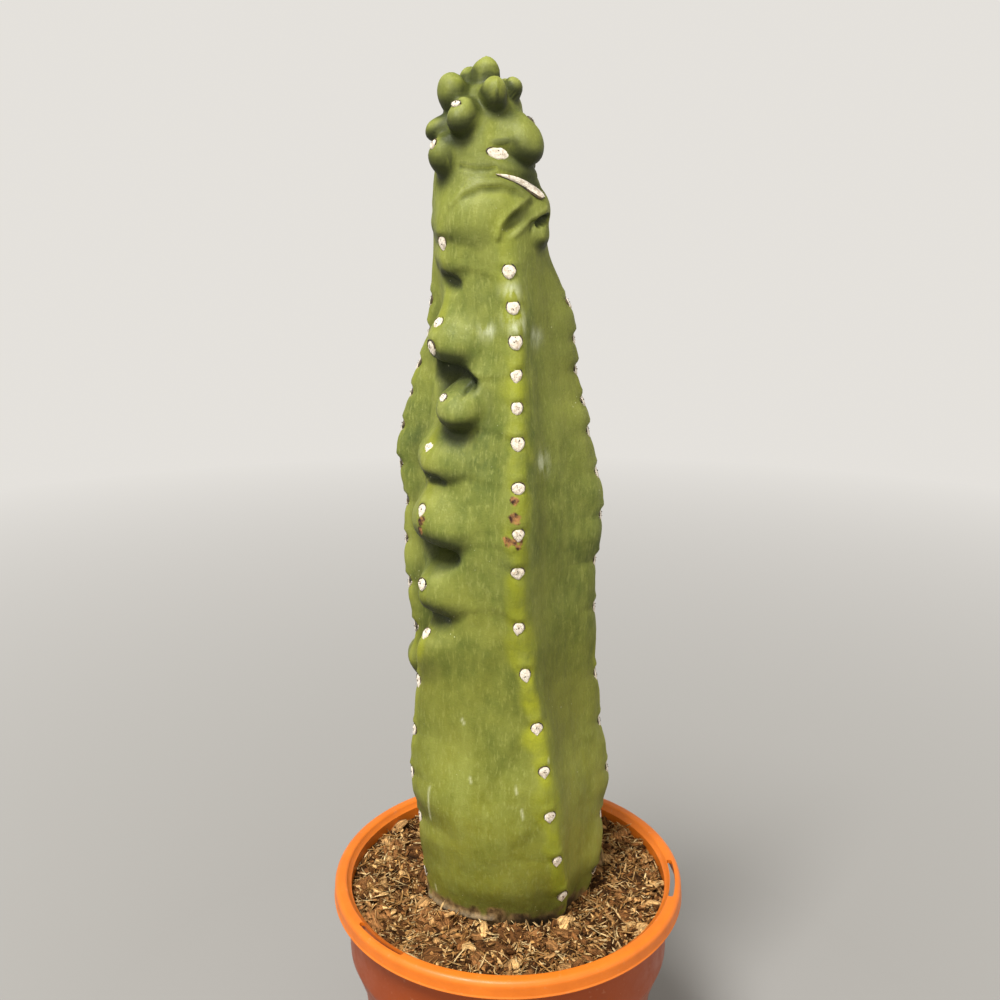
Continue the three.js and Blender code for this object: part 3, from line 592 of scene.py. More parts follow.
def skin_relief(points, distances):
    """Soft dents, finer waves and upright streaks, a cord along the front crest and a groove beside it."""
    front = distances[0]
    ribbed = 1 - smoothstep(*RIB_FADE, points[:, 2])
    relief = layered_noise(points, SKIN_NOISE) + layered_noise(points * STREAK_STRETCH, STREAK_NOISE)
    relief += ribbed * CORD_HEIGHT * np.exp(-(front / CORD_WIDTH) ** 4)
    return relief - ribbed * GROOVE_DEPTH * np.exp(-((front - GROOVE_OFFSET) / GROOVE_WIDTH) ** 2)


def path_offset(points, path):
    """Distance to a path of azimuths and heights on the skin, negative below it."""
    places = skin_frames(*np.array(path, float).T)[0]
    nearest, above = np.full(len(points), 1e3), np.zeros(len(points))
    for start, end in zip(places[:-1], places[1:]):
        stretch = end - start
        share = np.clip((points - start) @ stretch / (stretch @ stretch), 0, 1)
        offset = points - start - share[:, None] * stretch
        distance = np.linalg.norm(offset, axis=-1)
        above = np.where(distance < nearest, offset[:, 2], above)
        nearest = np.minimum(nearest, distance)
    return np.copysign(nearest, above)


def fold_relief(points):
    """A ridge is exp(-s^2), with s the distance over the width; a crease is its opposite, and a lip is
    (s + 0.2) exp(-s^2)."""
    relief = np.zeros(len(points))
    for kind, width, depth, path in FOLDS:
        heights = [height for _, height in path]
        near = (points[:, 2] > min(heights) - FOLD_REACH) & (points[:, 2] < max(heights) + FOLD_REACH)
        s = path_offset(points[near], path) / width
        shape = {"ridge": 1, "crease": -1, "lip": s + 0.2}[kind]
        relief[near] += depth * shape * np.exp(-s * s)
    return relief


def shelter(points):
    """How closed in the skin is all round, and from above, 0 to 1 each, and how far it faces up, -1 to 1.

    That is what the field falls short of the way gone out, over some steps: along the slope of the field, and
    along that slope turned upwards."""
    out = skin_normals(points)
    raised = unit(out + np.array([0, 0, UPWARD]))
    short = [[np.clip(1 - stem_field(points + step * way) / step, 0, 1) for step in SHELTER_STEPS]
             for way in (out, raised)]
    return [*np.mean(short, axis=1), out[:, 2]]


def bends(grid, outward):
    """How sharply the skin bends, per millimetre: a point's height over the mean of its neighbours, over the
    square of their distance. Positive on a ridge, negative in a crease."""
    rows = np.arange(len(grid))
    above, below = (grid[np.clip(rows + step, 0, len(grid) - 1)] for step in (BEND_REACH, -BEND_REACH))
    right, left = (np.roll(grid, step, 1) for step in (-BEND_REACH, BEND_REACH))
    height = ((grid - (above + below + right + left) / 4) * outward).sum(-1)
    spread = (((above - below) ** 2).sum(-1) + ((right - left) ** 2).sum(-1)) / 8
    return (height / np.maximum(spread, 0.2)).ravel()


def dressed(points, out, sink):
    """Points of the field moved out to the finished skin, and sunk into it a little."""
    relief = skin_relief(points, crest_distances(points)) + fold_relief(points)
    return points + out * (relief - sink)[:, None]


def pad_seats():
    """Places of the pads on the field, with directions across, up and out, and seats on the finished skin."""
    places, across, up, out = skin_frames(*areole_list()[:, :2].T)
    return places, across, up, out, dressed(places, out, PAD_SINK)


def seat_relief(points):
    """A dimple under a low ledge for each pad: 0.8 exp(-u^2 / 14 - (v - 4.6)^2 / 3) - 0.8 exp(-d^2 / 11)."""
    relief = np.zeros(len(points))
    for seat, side, rise in zip(*pad_seats()[:3]):
        near = np.linalg.norm(points - seat, axis=-1) < SEAT_REACH
        u, v = (points[near] - seat) @ side, (points[near] - seat) @ rise
        relief[near] += 0.8 * np.exp(-(u * u / 14 + (v - 4.6) ** 2 / 3)) - 0.8 * np.exp(-(u * u + v * v) / 11)
    return relief


def skin_marks(points, distances):
    """Where the skin is yellow on crests, corky or callous at the foot, grey with bloom, scarred, and where a
    painted shadow darkens the foot; with the shelter values for painted shade.
    """
    z = points[:, 2]
    wander = 1 + 0.5 * value_noise(points, 9, 14)
    depths, widths = np.array(BANDS).T[:, :, None]
    band = (depths * np.exp(-(distances / widths / wander) ** 4)).max(0)
    ragged = z + layered_noise(points, FOOT_NOISE)
    front = distances[0]
    azimuth = np.degrees(np.arctan2(points[:, 0], -points[:, 1]))
    # Painted shadow at the foot, right of the front, darkest just above the mix
    foot_shadow = smoothstep(-10, 18, azimuth) * smoothstep(72, 50, azimuth) * smoothstep(137, 128.5, ragged)
    scratches = [np.exp(-(path_offset(points, path) / SCRATCH_WIDTH) ** 2) for path in SCRATCHES]
    # How closed in the skin is and how far it faces up: these drive the painted shade and painted highlight
    hollow_shade, shaded, facing = shelter(points)
    return {"band": band * (1 - 0.7 * smoothstep(*RIB_FADE, z)),
            "corky": smoothstep(136.5, 130.5, ragged), "foot_shadow": foot_shadow,
            "bloom": smoothstep(4, 14, front) * smoothstep(62, 40, front),
            "callus": np.exp(-(path_offset(points, CALLUS) / CALLUS_WIDTH) ** 2),
            "hollow_shade": hollow_shade, "shaded": shaded, "facing": facing, "scratch": np.max(scratches, 0),
            "smear": spots(points, SMEARS), "scar": spots(points, SCARS),
            "aged": smoothstep(270, 135, z), "young": smoothstep(448, 474, z)}


def spots(points, places):
    """exp(-(d / size)^2) round each place on the skin, given as azimuth, height and size."""
    azimuths, heights, sizes = np.array(places, float).T
    centres = skin_frames(azimuths, heights)[0]
    distances = np.linalg.norm(points[:, None] - centres, axis=-1)
    return np.exp(-(distances / sizes) ** 2).max(1)


def cactus_skin(finish):
    """Skin of the stem: the traced field with its relief, closed at the foot and over the crown.

    Rays stand closer together at the front: azimuth = t - crowding * sin t."""
    heights, elevations = stem_rays()
    ring = azimuth_ring(STEM_SIDES)
    turn, height = np.meshgrid(ring - FRONT_CROWDING * np.sin(ring), heights)
    rise = np.broadcast_to(elevations[:, None], turn.shape)
    directions = around(turn, np.cos(rise), np.sin(rise)).reshape(-1, 3)
    origins = np.stack([along(COLUMN_LEAN, height), np.zeros_like(height), height], -1).reshape(-1, 3)
    points = skin_points(origins, directions)
    distances = crest_distances(points)
    marks = skin_marks(points, distances)
    relief = skin_relief(points, distances) + seat_relief(points) + fold_relief(points)
    grid = (points + directions * relief[:, None]).reshape(len(heights), STEM_SIDES, 3)
    marks["bend"] = bends(grid, directions.reshape(grid.shape))
    centre = np.array([[along(COLUMN_LEAN, FAN_CENTRE), 0, FAN_CENTRE]])
    apex = skin_points(centre, np.array([[0, 0, 1.0]]))[0]
    surface, faces = closed_surface(grid, (0, 0, SKIN_BOTTOM), apex)
    marks = {name: np.append(values, (0, 0)) for name, values in marks.items()}
    piece = mesh_piece("cactus_skin", surface, faces, finish, "cactus_skin", marks)
    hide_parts("cactus_stem")


def pad_outlines(turns, points):
    """Outlines one wide and one high, round above and drawn to a point below as far as points says."""
    below = np.maximum(-np.sin(turns), 0)
    x = 0.5 * np.cos(turns) * (1 - points[:, None] * below ** 1.4)
    y = np.where(np.sin(turns) > 0, 0.42, 0.42 + 0.2 * points[:, None]) * np.sin(turns)
    return x, y


def pad_rings(x, y, levels):
    """Rings of each pad's outline, shrunk, raised and lifted by the levels."""
    scale, lift, rise = np.array(levels).T[:, None, :, None]
    rings = [scale * x[:, None, :], scale * y[:, None, :] + lift, rise + 0 * x[:, None, :]]
    return np.stack(rings, -1).reshape(len(x), -1, 3)


def areole_pads(wool, dark):
    """Cushions of felted wool on their seats, each with a thin dark rim above it: a painted shadow of the
    skin's ledge.
    """
    rng = np.random.default_rng(11)
    pads = areole_list()
    count = len(pads)
    _, across, up, out, seats = pad_seats()
    rolls = np.radians(pads[:, 4] + rng.normal(0, 7, count))[:, None]
    side, rise = across * np.cos(rolls) + up * np.sin(rolls), up * np.cos(rolls) - across * np.sin(rolls)
    sizes = pads[:, 2:4] * rng.uniform(0.85, 1.08, (count, 2))
    side, rise = side * sizes[:, :1], rise * sizes[:, 1:]
    frames = np.stack([side, rise, out], -1)
    pointed = np.interp(pads[:, 1], *zip(*PAD_POINTS)) + rng.uniform(-0.2, 0.2, count)
    ring = azimuth_ring(PAD_SIDES)
    x, y = pad_outlines(ring, np.clip(pointed, 0, 1))
    cushions = pad_rings(x, y, CUSHION_LEVELS)
    cushions += rng.normal(0, 1, cushions.shape) * (0.012, 0.012, 0.06)
    middles = [[0, 0, CUSHION_LEVELS[0][2]], [0, 0, CUSHION_LEVELS[-1][2] + 0.01]]
    cushions = np.concatenate([cushions, np.broadcast_to(middles, (count, 2, 3))], 1)
    size = len(CUSHION_LEVELS), PAD_SIDES
    points, faces = copies(cushions, seats, frames, rolled_faces(*size), end_fans(*size))
    mesh_piece("areole_wool", points, faces, wool, "areole_wool")
    # The dark rims: painted shadow of the ledge above each pad
    edges = pad_rings(x, y, EDGE_LEVELS)
    levels = len(EDGE_LEVELS)
    edges[..., 2] += EDGE_DIP * np.tile(np.minimum(np.sin(ring), 0), levels)
    loop = rolled_faces(levels + 1, PAD_SIDES) % (levels * PAD_SIDES)
    points, faces = copies(edges, seats, frames, loop)
    mesh_piece("areole_shadow_rims", points, faces, dark, "cactus_skin")
    spine_stubs(rng, seats, side, rise, out, dark)


def spine_stubs(rng, seats, across, up, out, dark):
    """A few short spines in the middle of every pad: cones of four sides that lean outwards."""
    turns = azimuth_ring(4)
    shape = np.concatenate([np.stack([np.cos(turns), np.sin(turns), np.zeros(4)], -1), [[0, 0, 1]]])
    faces = [(k, (k + 1) % 4, 4) for k in range(4)]
    each = np.repeat(np.arange(len(seats)), SPINES)
    u, v = rng.normal(0, 0.09, (2, len(each), 1))
    places = seats[each] + across[each] * u + up[each] * (v + 0.04) + 0.45 * out[each]
    lean = unit(out[each] + 0.25 * unit(u * across[each] + v * up[each]))
    aside = unit(np.cross(lean, up[each]))
    thickness = rng.uniform(0.2, 0.4, (len(each), 1))
    length = rng.uniform(0.4, 0.85, (len(each), 1))
    frames = np.stack([aside * thickness, np.cross(lean, aside) * thickness, lean * length], -1)
    mesh_piece("spine_stubs", *copies(shape, places, frames, faces), dark, "cactus_skin")


def slit_areole(wool, dark):
    """The long areole of the neck: a flat oval section carried along its path, with a dark strip of painted
    shadow below it.
    """
    t = np.linspace(0, 1, SLIT_STEPS)
    marks = np.linspace(0, 1, len(SLIT_PATH))
    places, _, _, out = skin_frames(*[np.interp(t, marks, column) for column in zip(*SLIT_PATH)])
    seats = dressed(places, out, SLIT_SINK)
    below = np.cross(unit(np.gradient(seats, axis=0)), out)
    width = SLIT_WIDTH * (0.04 + t ** 0.85) * np.sqrt(1.001 - t ** 14)
    turns = azimuth_ring(10)
    # The slit's wool, and below it a dark strip of painted shadow
    for name, half, rise, shift, finish, slot in (("slit_wool", 0.5, 0.5, 0.0, wool, "areole_wool"),
                                                  ("slit_shadow", 0.16, 0.45, 0.56, dark, "cactus_skin")):
        middle = seats + below * (shift * width)[:, None]
        flat = (half * width)[:, None, None] * np.cos(turns)[:, None] * below[:, None, :]
        rows = middle[:, None, :] + flat + rise * np.sin(turns)[:, None] * out[:, None, :]
        points, faces = closed_surface(rows, rows[0].mean(0), rows[-1].mean(0))
        mesh_piece(name, points, faces, finish, slot)


# Potting mix

def pot_bore(z):
    """Inner radius of the pot's wall at a height: foot to shoulder, shoulder to collar, then straight."""
    heights = (0, SHOULDER_BOTTOM, SHOULDER_TOP, POT_HEIGHT)
    radii = (FOOT_RADIUS, SHOULDER_RADIUS, COLLAR_RADIUS, COLLAR_RADIUS)
    return np.interp(z, heights, radii) - WALL_THICKNESS


def soil_height(x, y, share):
    """Height of the mix: humps from crossed waves, flat where it meets the stem and the pot."""
    humps = np.sin(x / 5.2 + 1.3 * np.sin(y / 9)) * np.cos(y / 4.6 + np.sin(x / 7.5))
    edges = smoothstep(0, 0.12, share) * smoothstep(1, 0.86, share)
    return SOIL_LEVEL + SOIL_RISE * edges * (0.55 + humps + 0.4 * np.sin((x - y) / 2.9))


def soil_place(angle, share):
    """Point of the mix between the stem, share 0, and the pot, share 1."""
    inner = column_radius(np.degrees(angle), np.full_like(angle, SOIL_LEVEL)) + FIT_GAP
    radius = inner + (pot_bore(SOIL_LEVEL) - FIT_GAP - inner) * share
    x, y = np.sin(angle) * radius, -np.cos(angle) * radius
    return np.stack([x, y, soil_height(x, y, share)], -1)


def clumps(x, y):
    """Rounded clumps: the tallest (1 - (d / r)^2)^0.7 over each point, its shade and its grain's axes."""
    rng = np.random.default_rng(51)
    centres = scatter(rng, CLUMPS, 0.0)[:, :2]
    big = np.arange(CLUMPS) < BIG_CLUMPS
    radii = np.where(big, rng.uniform(6, 9, CLUMPS), rng.uniform(2.4, 5, CLUMPS))
    heights = radii * rng.uniform(0.35, 0.6, CLUMPS)
    shades, turns = rng.random(CLUMPS), rng.uniform(0, np.pi, CLUMPS)
    dx, dy = x[:, None] - centres[:, 0], y[:, None] - centres[:, 1]
    domes = heights * np.clip(1 - (dx * dx + dy * dy) / radii ** 2, 0, 1) ** 0.7
    best = domes.argmax(1)
    rows = np.arange(len(x))
    dx, dy, turn = dx[rows, best], dy[rows, best], turns[best]
    across, ahead = dx * np.cos(turn) + dy * np.sin(turn), dy * np.cos(turn) - dx * np.sin(turn)
    return domes[rows, best], shades[best], across, ahead


def mix_surface(finish):
    """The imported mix: humps, clumps and crumbly noise on top, and the plain fill down to the pot's floor."""
    angles = azimuth_ring(MIX_SIDES)
    turn, share = np.meshgrid(angles, np.linspace(1, 0, MIX_RINGS))
    top = soil_place(turn.ravel(), share.ravel())
    dome, shade, across, ahead = clumps(top[:, 0], top[:, 1])
    inside = np.minimum(1, 12 * share.ravel() * (1.001 - share.ravel()))
    top[:, 2] += (layered_noise(top, MIX_NOISE) + dome - CLUMP_SINK) * inside
    side = [around(angles, pot_bore(z) - FIT_GAP, z) for z in (MIX_BOTTOM, SHOULDER_BOTTOM, SHOULDER_TOP)]
    top = top.reshape(MIX_RINGS, MIX_SIDES, 3)
    hole = top[-1].copy()
    hole[:, 2] = STUB_BOTTOM - FIT_GAP
    rows = np.concatenate([side, top, [hole]])
    points, faces = closed_surface(rows, (0, 0, MIX_BOTTOM), (0, 0, STUB_BOTTOM - FIT_GAP))
    # Each clump's tone, with painted shade darkening the low gaps between clumps
    shade = 0.12 + (0.2 + 0.66 * shade) * smoothstep(0.1, 1.6, dome)
    before, after = len(side) * MIX_SIDES, MIX_SIDES + 2
    marks = {name: np.pad(values, (before, after))
             for name, values in (("shade", shade), ("across", across), ("ahead", ahead))}
    piece = mesh_piece("mix_surface", points, faces, finish, "potting_mix", marks)
    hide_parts("potting_mix")


def scatter(rng, count, clear):
    """Random points of the mix, evenly spread from the stem to the pot, that keep a share clear at both."""
    radius = np.sqrt(STEM_SHARE ** 2 + rng.random(count) * (1 - STEM_SHARE ** 2))
    share = clear + (1 - 2 * clear) * (radius - STEM_SHARE) / (1 - STEM_SHARE)
    return soil_place(rng.uniform(0, 2 * np.pi, count), share)


def strewn(rng, count, clear, low, high):
    """Places of loose pieces: sunk or raised between low and high, and rarer on the tall clumps."""
    places = scatter(rng, 4 * count, clear)
    dome = clumps(places[:, 0], places[:, 1])[0]
    places[:, 2] += dome - CLUMP_SINK + rng.uniform(low, high, 4 * count)
    free = rng.random(4 * count) > BARE_SHARE * smoothstep(0.8, 2.2, dome)
    return places[free][:count]


def random_frames(rng, sizes, tip):
    """Frames turned freely about Z and tipped by up to tip radians, scaled by sizes."""
    count = len(sizes)
    turn = rng.uniform(0, 2 * np.pi, count)
    tips = rng.normal(0, tip, (count, 2))
    ahead = unit(np.stack([np.cos(turn), np.sin(turn), tips[:, 0]], -1))
    aside = unit(np.stack([-np.sin(turn), np.cos(turn), tips[:, 1]], -1))
    normal = unit(np.cross(ahead, aside))
    aside = np.cross(normal, ahead)
    return np.stack([ahead, aside, normal], -1) * sizes[:, None, :]


def mix_chips(finish):
    """Bark splinters and chips: flattened lumps of eight sides with uneven outlines, a few big and pale."""
    rng = np.random.default_rng(21)
    count = CHIPS
    levels = np.array([(0.75, -0.5), (1.0, -0.1), (0.95, 0.3), (0.6, 0.5)])
    turns, radii = np.meshgrid(azimuth_ring(8), levels[:, 0])
    ring = np.stack([radii * np.cos(turns), radii * np.sin(turns), np.repeat(levels[:, 1:], 8, 1)], -1)
    shape = np.concatenate([ring.reshape(-1, 3), [[0, 0, -0.5], [0, 0, 0.5]]])
    shapes = shape[None] * (1 + rng.normal(0, 0.16, (count, len(shape), 1)))
    big = rng.random(count) < BIG_CHIPS
    length = np.where(big, rng.uniform(3, 6, count), 1 + 2.8 * rng.random(count) ** 2)
    width = length * np.where(big, rng.uniform(0.4, 0.7, count), rng.uniform(0.2, 0.6, count))
    sizes = np.stack([length, width, width * rng.uniform(0.4, 0.9, count)], -1)
    places = strewn(rng, count, 0.012, -0.4, 0.8)
    points, faces = copies(shapes, places, random_frames(rng, sizes, 0.4), rolled_faces(4, 8), end_fans(4, 8))
    shade = np.where(big, rng.uniform(0.5, 0.95, count), rng.random(count) ** 1.3)
    marks = {"shade": np.repeat(shade, len(shape)), "across": shapes[..., 1] * width[:, None],
             "ahead": shapes[..., 0] * length[:, None]}
    mesh_piece("mix_chips", points, faces, finish, "potting_mix", marks)


def mix_fibres(finish):
    """Coir and straw fibres: three-sided strips along bent lines that taper at both ends."""
    rng = np.random.default_rng(31)
    count, steps = FIBRES, 6
    t = np.linspace(-1, 1, steps)
    length = 1.1 + 5.4 * rng.random(count) ** 2.8
    bend = rng.normal(0, 0.17, count)
    arch = rng.uniform(-0.08, 0.12, count)
    thickness = rng.uniform(0.1, 0.42, count)
    curve = length[:, None] * (1 - t * t)
    spine = np.stack([t * length[:, None], bend[:, None] * curve, arch[:, None] * curve], -1)
    taper = np.sqrt(np.maximum(1 - t * t, 0.05)) * thickness[:, None]
    turns = azimuth_ring(3) + 0.5
    section = np.stack([np.zeros(3), 1.6 * np.cos(turns), np.sin(turns)], -1)
    shapes = (spine[:, :, None, :] + taper[:, :, None, None] * section).reshape(count, -1, 3)
    places = strewn(rng, count, 0.012, 0, 1.4)
    frames = random_frames(rng, np.ones((count, 3)), 0.3)
    last = (steps - 1) * 3
    ends = [(0, 2, 1), (last, last + 1, last + 2)]
    points, faces = copies(shapes, places, frames, rolled_faces(steps, 3), ends)
    marks = {"shade": np.repeat(rng.random(count), shapes.shape[1]), "across": shapes[..., 1],
             "ahead": shapes[..., 0]}
    mesh_piece("mix_fibres", points, faces, finish, "potting_mix", marks)


def mix_crumbs(finish):
    """Crumbs: uneven octahedra strewn over the mix."""
    rng = np.random.default_rng(41)
    count = CRUMBS
    shape = np.array([[1, 0, 0], [0, 1, 0], [-1, 0, 0], [0, -1, 0], [0, 0, 1], [0, 0, -1]], float)
    faces = [(k, (k + 1) % 4, 4) for k in range(4)] + [((k + 1) % 4, k, 5) for k in range(4)]
    shapes = shape[None] * (1 + rng.normal(0, 0.3, (count, 6, 1)))
    size = 0.3 + 0.9 * rng.random(count) ** 2
    sizes = np.stack([size * rng.uniform(1, 2.2, count), size, size * rng.uniform(0.5, 1, count)], -1)
    places = strewn(rng, count, 0.004, -0.2, 0.8)
    points, faces = copies(shapes, places, random_frames(rng, sizes, 0.6), faces)
    marks = {"shade": np.repeat(rng.random(count), 6)}
    mesh_piece("mix_crumbs", points, faces, finish, "potting_mix", marks, smooth=False)


# Pot

def arc(centre, radius, start, end, steps=6):
    """Points of an arc in the profile plane; angles in degrees from outward towards up."""
    turn = np.radians(np.linspace(start, end, steps))
    return [(centre[0] + radius * math.cos(a), centre[1] + radius * math.sin(a)) for a in turn]


def pot_profile():
    """Outline of the pot's wall, from the axis under the floor, round the outside and back to the axis."""
    skirt_bottom, under = POT_HEIGHT - SKIRT_HEIGHT, POT_HEIGHT - FLANGE_THICKNESS
    skirt_outer = RIM_RADIUS - LIP_PROUD
    skirt_inner = skirt_outer - SKIRT_THICKNESS
    foot_inner, edge_centre = FOOT_RADIUS - FOOT_WIDTH, RIM_INNER_RADIUS + INNER_EDGE
    floor_top = FLOOR_RISE + FLOOR_THICKNESS
    path = [(0, FLOOR_RISE), (foot_inner, FLOOR_RISE), (foot_inner, 0.3), (foot_inner + 0.3, 0)]
    path += [(FOOT_RADIUS - FOOT_EDGE, 0)] + arc((FOOT_RADIUS - FOOT_EDGE, FOOT_EDGE), FOOT_EDGE, -60, -8, 4)
    spread = SHOULDER_RADIUS - FOOT_RADIUS
    path += [(FOOT_RADIUS + spread * t, SHOULDER_BOTTOM * t) for t in (0.3, 0.6, 0.9)]
    path += [(SHOULDER_RADIUS - 0.15, SHOULDER_BOTTOM - 1.6), (SHOULDER_RADIUS + 0.35, SHOULDER_BOTTOM + 0.6),
             (COLLAR_RADIUS - 0.8, SHOULDER_TOP - 1.9), (COLLAR_RADIUS - 0.1, SHOULDER_TOP - 0.3),
             (COLLAR_RADIUS, SHOULDER_TOP + 1.5), (COLLAR_RADIUS, under), (skirt_inner, under),
             (skirt_inner, skirt_bottom + 0.2), (skirt_inner + 0.2, skirt_bottom)]
    path += arc((RIM_RADIUS - SKIRT_EDGE, skirt_bottom + SKIRT_EDGE), SKIRT_EDGE, -90, 60, 6)
    path += [(skirt_outer + 0.05, skirt_bottom + LIP_HEIGHT + LIP_PROUD),
             (skirt_outer, POT_HEIGHT - RIM_BEAD - 1)]
    path += arc((skirt_outer - RIM_BEAD, POT_HEIGHT - RIM_BEAD), RIM_BEAD, 0, 84, 9)
    path += [(edge_centre, POT_HEIGHT)] + arc((edge_centre, POT_HEIGHT - INNER_EDGE), INNER_EDGE, 96, 170, 5)
    path += [(float(pot_bore(POT_HEIGHT)), POT_HEIGHT - 2.6)]
    path += [(float(pot_bore(z)), z) for z in (SHOULDER_TOP, SHOULDER_BOTTOM, floor_top)]
    return np.array(path + [(0, floor_top)])


def slot_cutter(azimuth):
    """Prism through the flange: a curved oblong of constant width with round ends."""
    half = SLOT_WIDTH / 2
    span = math.radians(SLOT_SPAN / 2)
    sweep = np.linspace(-span, span, 16)
    ends = np.radians(np.linspace(10, 170, 7))
    across, past = half * np.cos(ends), span + half * np.sin(ends) / SLOT_RADIUS
    radius = SLOT_RADIUS + np.concatenate([np.full(16, half), across, np.full(16, -half), -across])
    angle = math.radians(azimuth) + np.concatenate([sweep, past, sweep[::-1], -past])
    return prism(angle, radius, POT_HEIGHT - 5, POT_HEIGHT + 5)


def prism(angles, radii, low, high, centre=(0, 0, 0)):
    """Closed prism between two heights, kept only until it has cut."""
    rows = np.stack([around(angles, radii, z) + centre for z in (low, high)])
    return in_scene("cutter", plain_mesh("cutter", *closed_surface(rows, *rows.mean(1))))


def nursery_pot(finish):
    """The pot turned from its profile, with the hanger slots and drain holes cut through."""
    profile = pot_profile()
    rows = np.stack([around(azimuth_ring(POT_SIDES), radius, z) for radius, z in profile[1:-1]])
    points, faces = closed_surface(rows, (0, 0, profile[0][1]), (0, 0, profile[-1][1]))
    piece = mesh_piece("pot_shell", points, faces, finish, "pot_plastic")
    cutters = [slot_cutter(azimuth) for azimuth in SLOT_CENTRES]
    for turn in 2 * np.pi * (np.arange(DRAIN_COUNT) + 0.5) / DRAIN_COUNT:
        centre = np.array([math.cos(turn), math.sin(turn), 0]) * DRAIN_RING_RADIUS
        cutters.append(prism(azimuth_ring(32), DRAIN_RADIUS, -1.0, FLOOR_RISE + FLOOR_THICKNESS + 2, centre))
    for cutter in cutters:
        cut = piece.modifiers.new("cut", "BOOLEAN")
        cut.operation = "DIFFERENCE"
        cut.solver = "EXACT"
        cut.object = cutter
    shape = bpy.data.meshes.new_from_object(piece.evaluated_get(bpy.context.evaluated_depsgraph_get()))
    piece.modifiers.clear()
    piece.data = shape
    shape.name = "pot_shell"
    shape.shade_smooth()
    shape.set_sharp_from_angle(angle=math.radians(38))
    for cutter in cutters:
        bpy.data.objects.remove(cutter)
    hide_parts("pot")


# Finishes

class Finish:
    """A material whose surface is one Principled shader, with short calls for the nodes that feed it."""

    def __init__(self, name, roughness, **constants):
        self.material = bpy.data.materials.new(name)
        self.material.use_nodes = True
        self.tree = self.material.node_tree
        self.shader = self.tree.nodes["Principled BSDF"]
        self.shader.inputs["Roughness"].default_value = roughness
        for socket, value in constants.items():
            self.shader.inputs[socket.replace("_", " ")].default_value = value
        self.place = self.tree.nodes.new("ShaderNodeTexCoord").outputs["Object"]
        parts = self.node("SeparateXYZ", {0: self.place})
        self.x, self.y, self.height = parts.outputs
        self.colour = None

    def node(self, kind, inputs, **settings):
        """A new node; each input takes another node's output, a colour of three shares or a plain value."""
        node = self.tree.nodes.new("ShaderNode" + kind)
        for name, value in settings.items():
            setattr(node, name, value)
        for key, value in inputs.items():
            socket = node.inputs[key]
            if isinstance(value, bpy.types.NodeSocket):
                self.tree.links.new(value, socket)
            elif socket.type == "RGBA":
                socket.default_value = (*value, 1)
            else:
                socket.default_value = value
        return node

    def noise(self, scale, detail=4.0, stretch=None):
        """Noise of about scale features per metre, stretched by a Mapping where stretch is given."""
        place = self.place
        if stretch:
            place = self.node("Mapping", {"Vector": place, "Scale": stretch}).outputs[0]
        inputs = {"Vector": place, "Scale": scale, "Detail": detail, "Roughness": NOISE_ROUGHNESS}
        return self.node("TexNoise", inputs).outputs["Fac"]

    def cells(self, scale):
        """Distance to the nearest cell point."""
        return self.node("TexVoronoi", {"Vector": self.place, "Scale": scale}).outputs["Distance"]

    def distance(self):
        """Distance from the upright axis through the origin, in metres."""
        squares = self.math("ADD", self.times(self.x, self.x), self.times(self.y, self.y))
        return self.math("POWER", squares, 0.5)

    def grain(self):
        """Streaks along each fragment, from its own across and ahead attributes in millimetres."""
        paces = (("across", 1.0), ("ahead", 0.16), ("shade", 40.0))
        axes = [self.times(self.attribute(name), pace) for name, pace in paces]
        axes = self.node("CombineXYZ", dict(enumerate(axes))).outputs[0]
        return self.node("TexNoise", {"Vector": axes, "Scale": 1.3, "Detail": 4}).outputs["Fac"]

    def attribute(self, name):
        """The piece's own attribute of that name."""
        return self.node("Attribute", {}, attribute_name=name).outputs["Fac"]

    def ramp(self, source, *stops):
        """Colours at positions: each stop is (position, (r, g, b))."""
        node = self.node("ValToRGB", {"Fac": source})
        elements = node.color_ramp.elements
        for _ in stops[2:]:
            elements.new(0.5)
        for element, (position, colour) in zip(elements, stops):
            element.position = position
            element.color = (*colour, 1)
        return node.outputs["Color"]

    def span(self, source, low, high, to_low=0.0, to_high=1.0):
        """source between low and high, as a value between to_low and to_high."""
        return self.node("MapRange", {"Value": source, "From Min": low, "From Max": high, "To Min": to_low,
                                      "To Max": to_high}).outputs["Result"]

    def math(self, operation, a, b):
        """Two values added, multiplied or raised."""
        return self.node("Math", {0: a, 1: b}, operation=operation).outputs[0]

    def times(self, a, b):
        """The product of two values."""
        return self.math("MULTIPLY", a, b)

    def mix(self, factor, first, second, blend="MIX"):
        """first turned towards second by factor."""
        inputs = {0: factor, 6: first, 7: second}
        return self.node("Mix", inputs, data_type="RGBA", blend_type=blend).outputs[2]

    def coat(self, share, colour, blend="MIX"):
        """The finish's colour turned towards another by share."""
        self.colour = self.mix(share, self.colour, colour, blend)

    def bump(self, *layers):
        """Bumps one over another: each layer is (height, strength, distance in metres)."""
        under = {}
        for height, strength, distance in layers:
            node = self.node("Bump", {"Height": height, "Strength": strength, "Distance": distance, **under})
            under = {"Normal": node.outputs["Normal"]}
        self.feed("Normal", under["Normal"])

    def feed(self, socket, source):
        """source into one of the shader's sockets."""
        self.tree.links.new(source, self.shader.inputs[socket])

    def painted(self):
        """The material, with the colour that its coats have given."""
        self.feed("Base Color", self.colour)
        return self.material


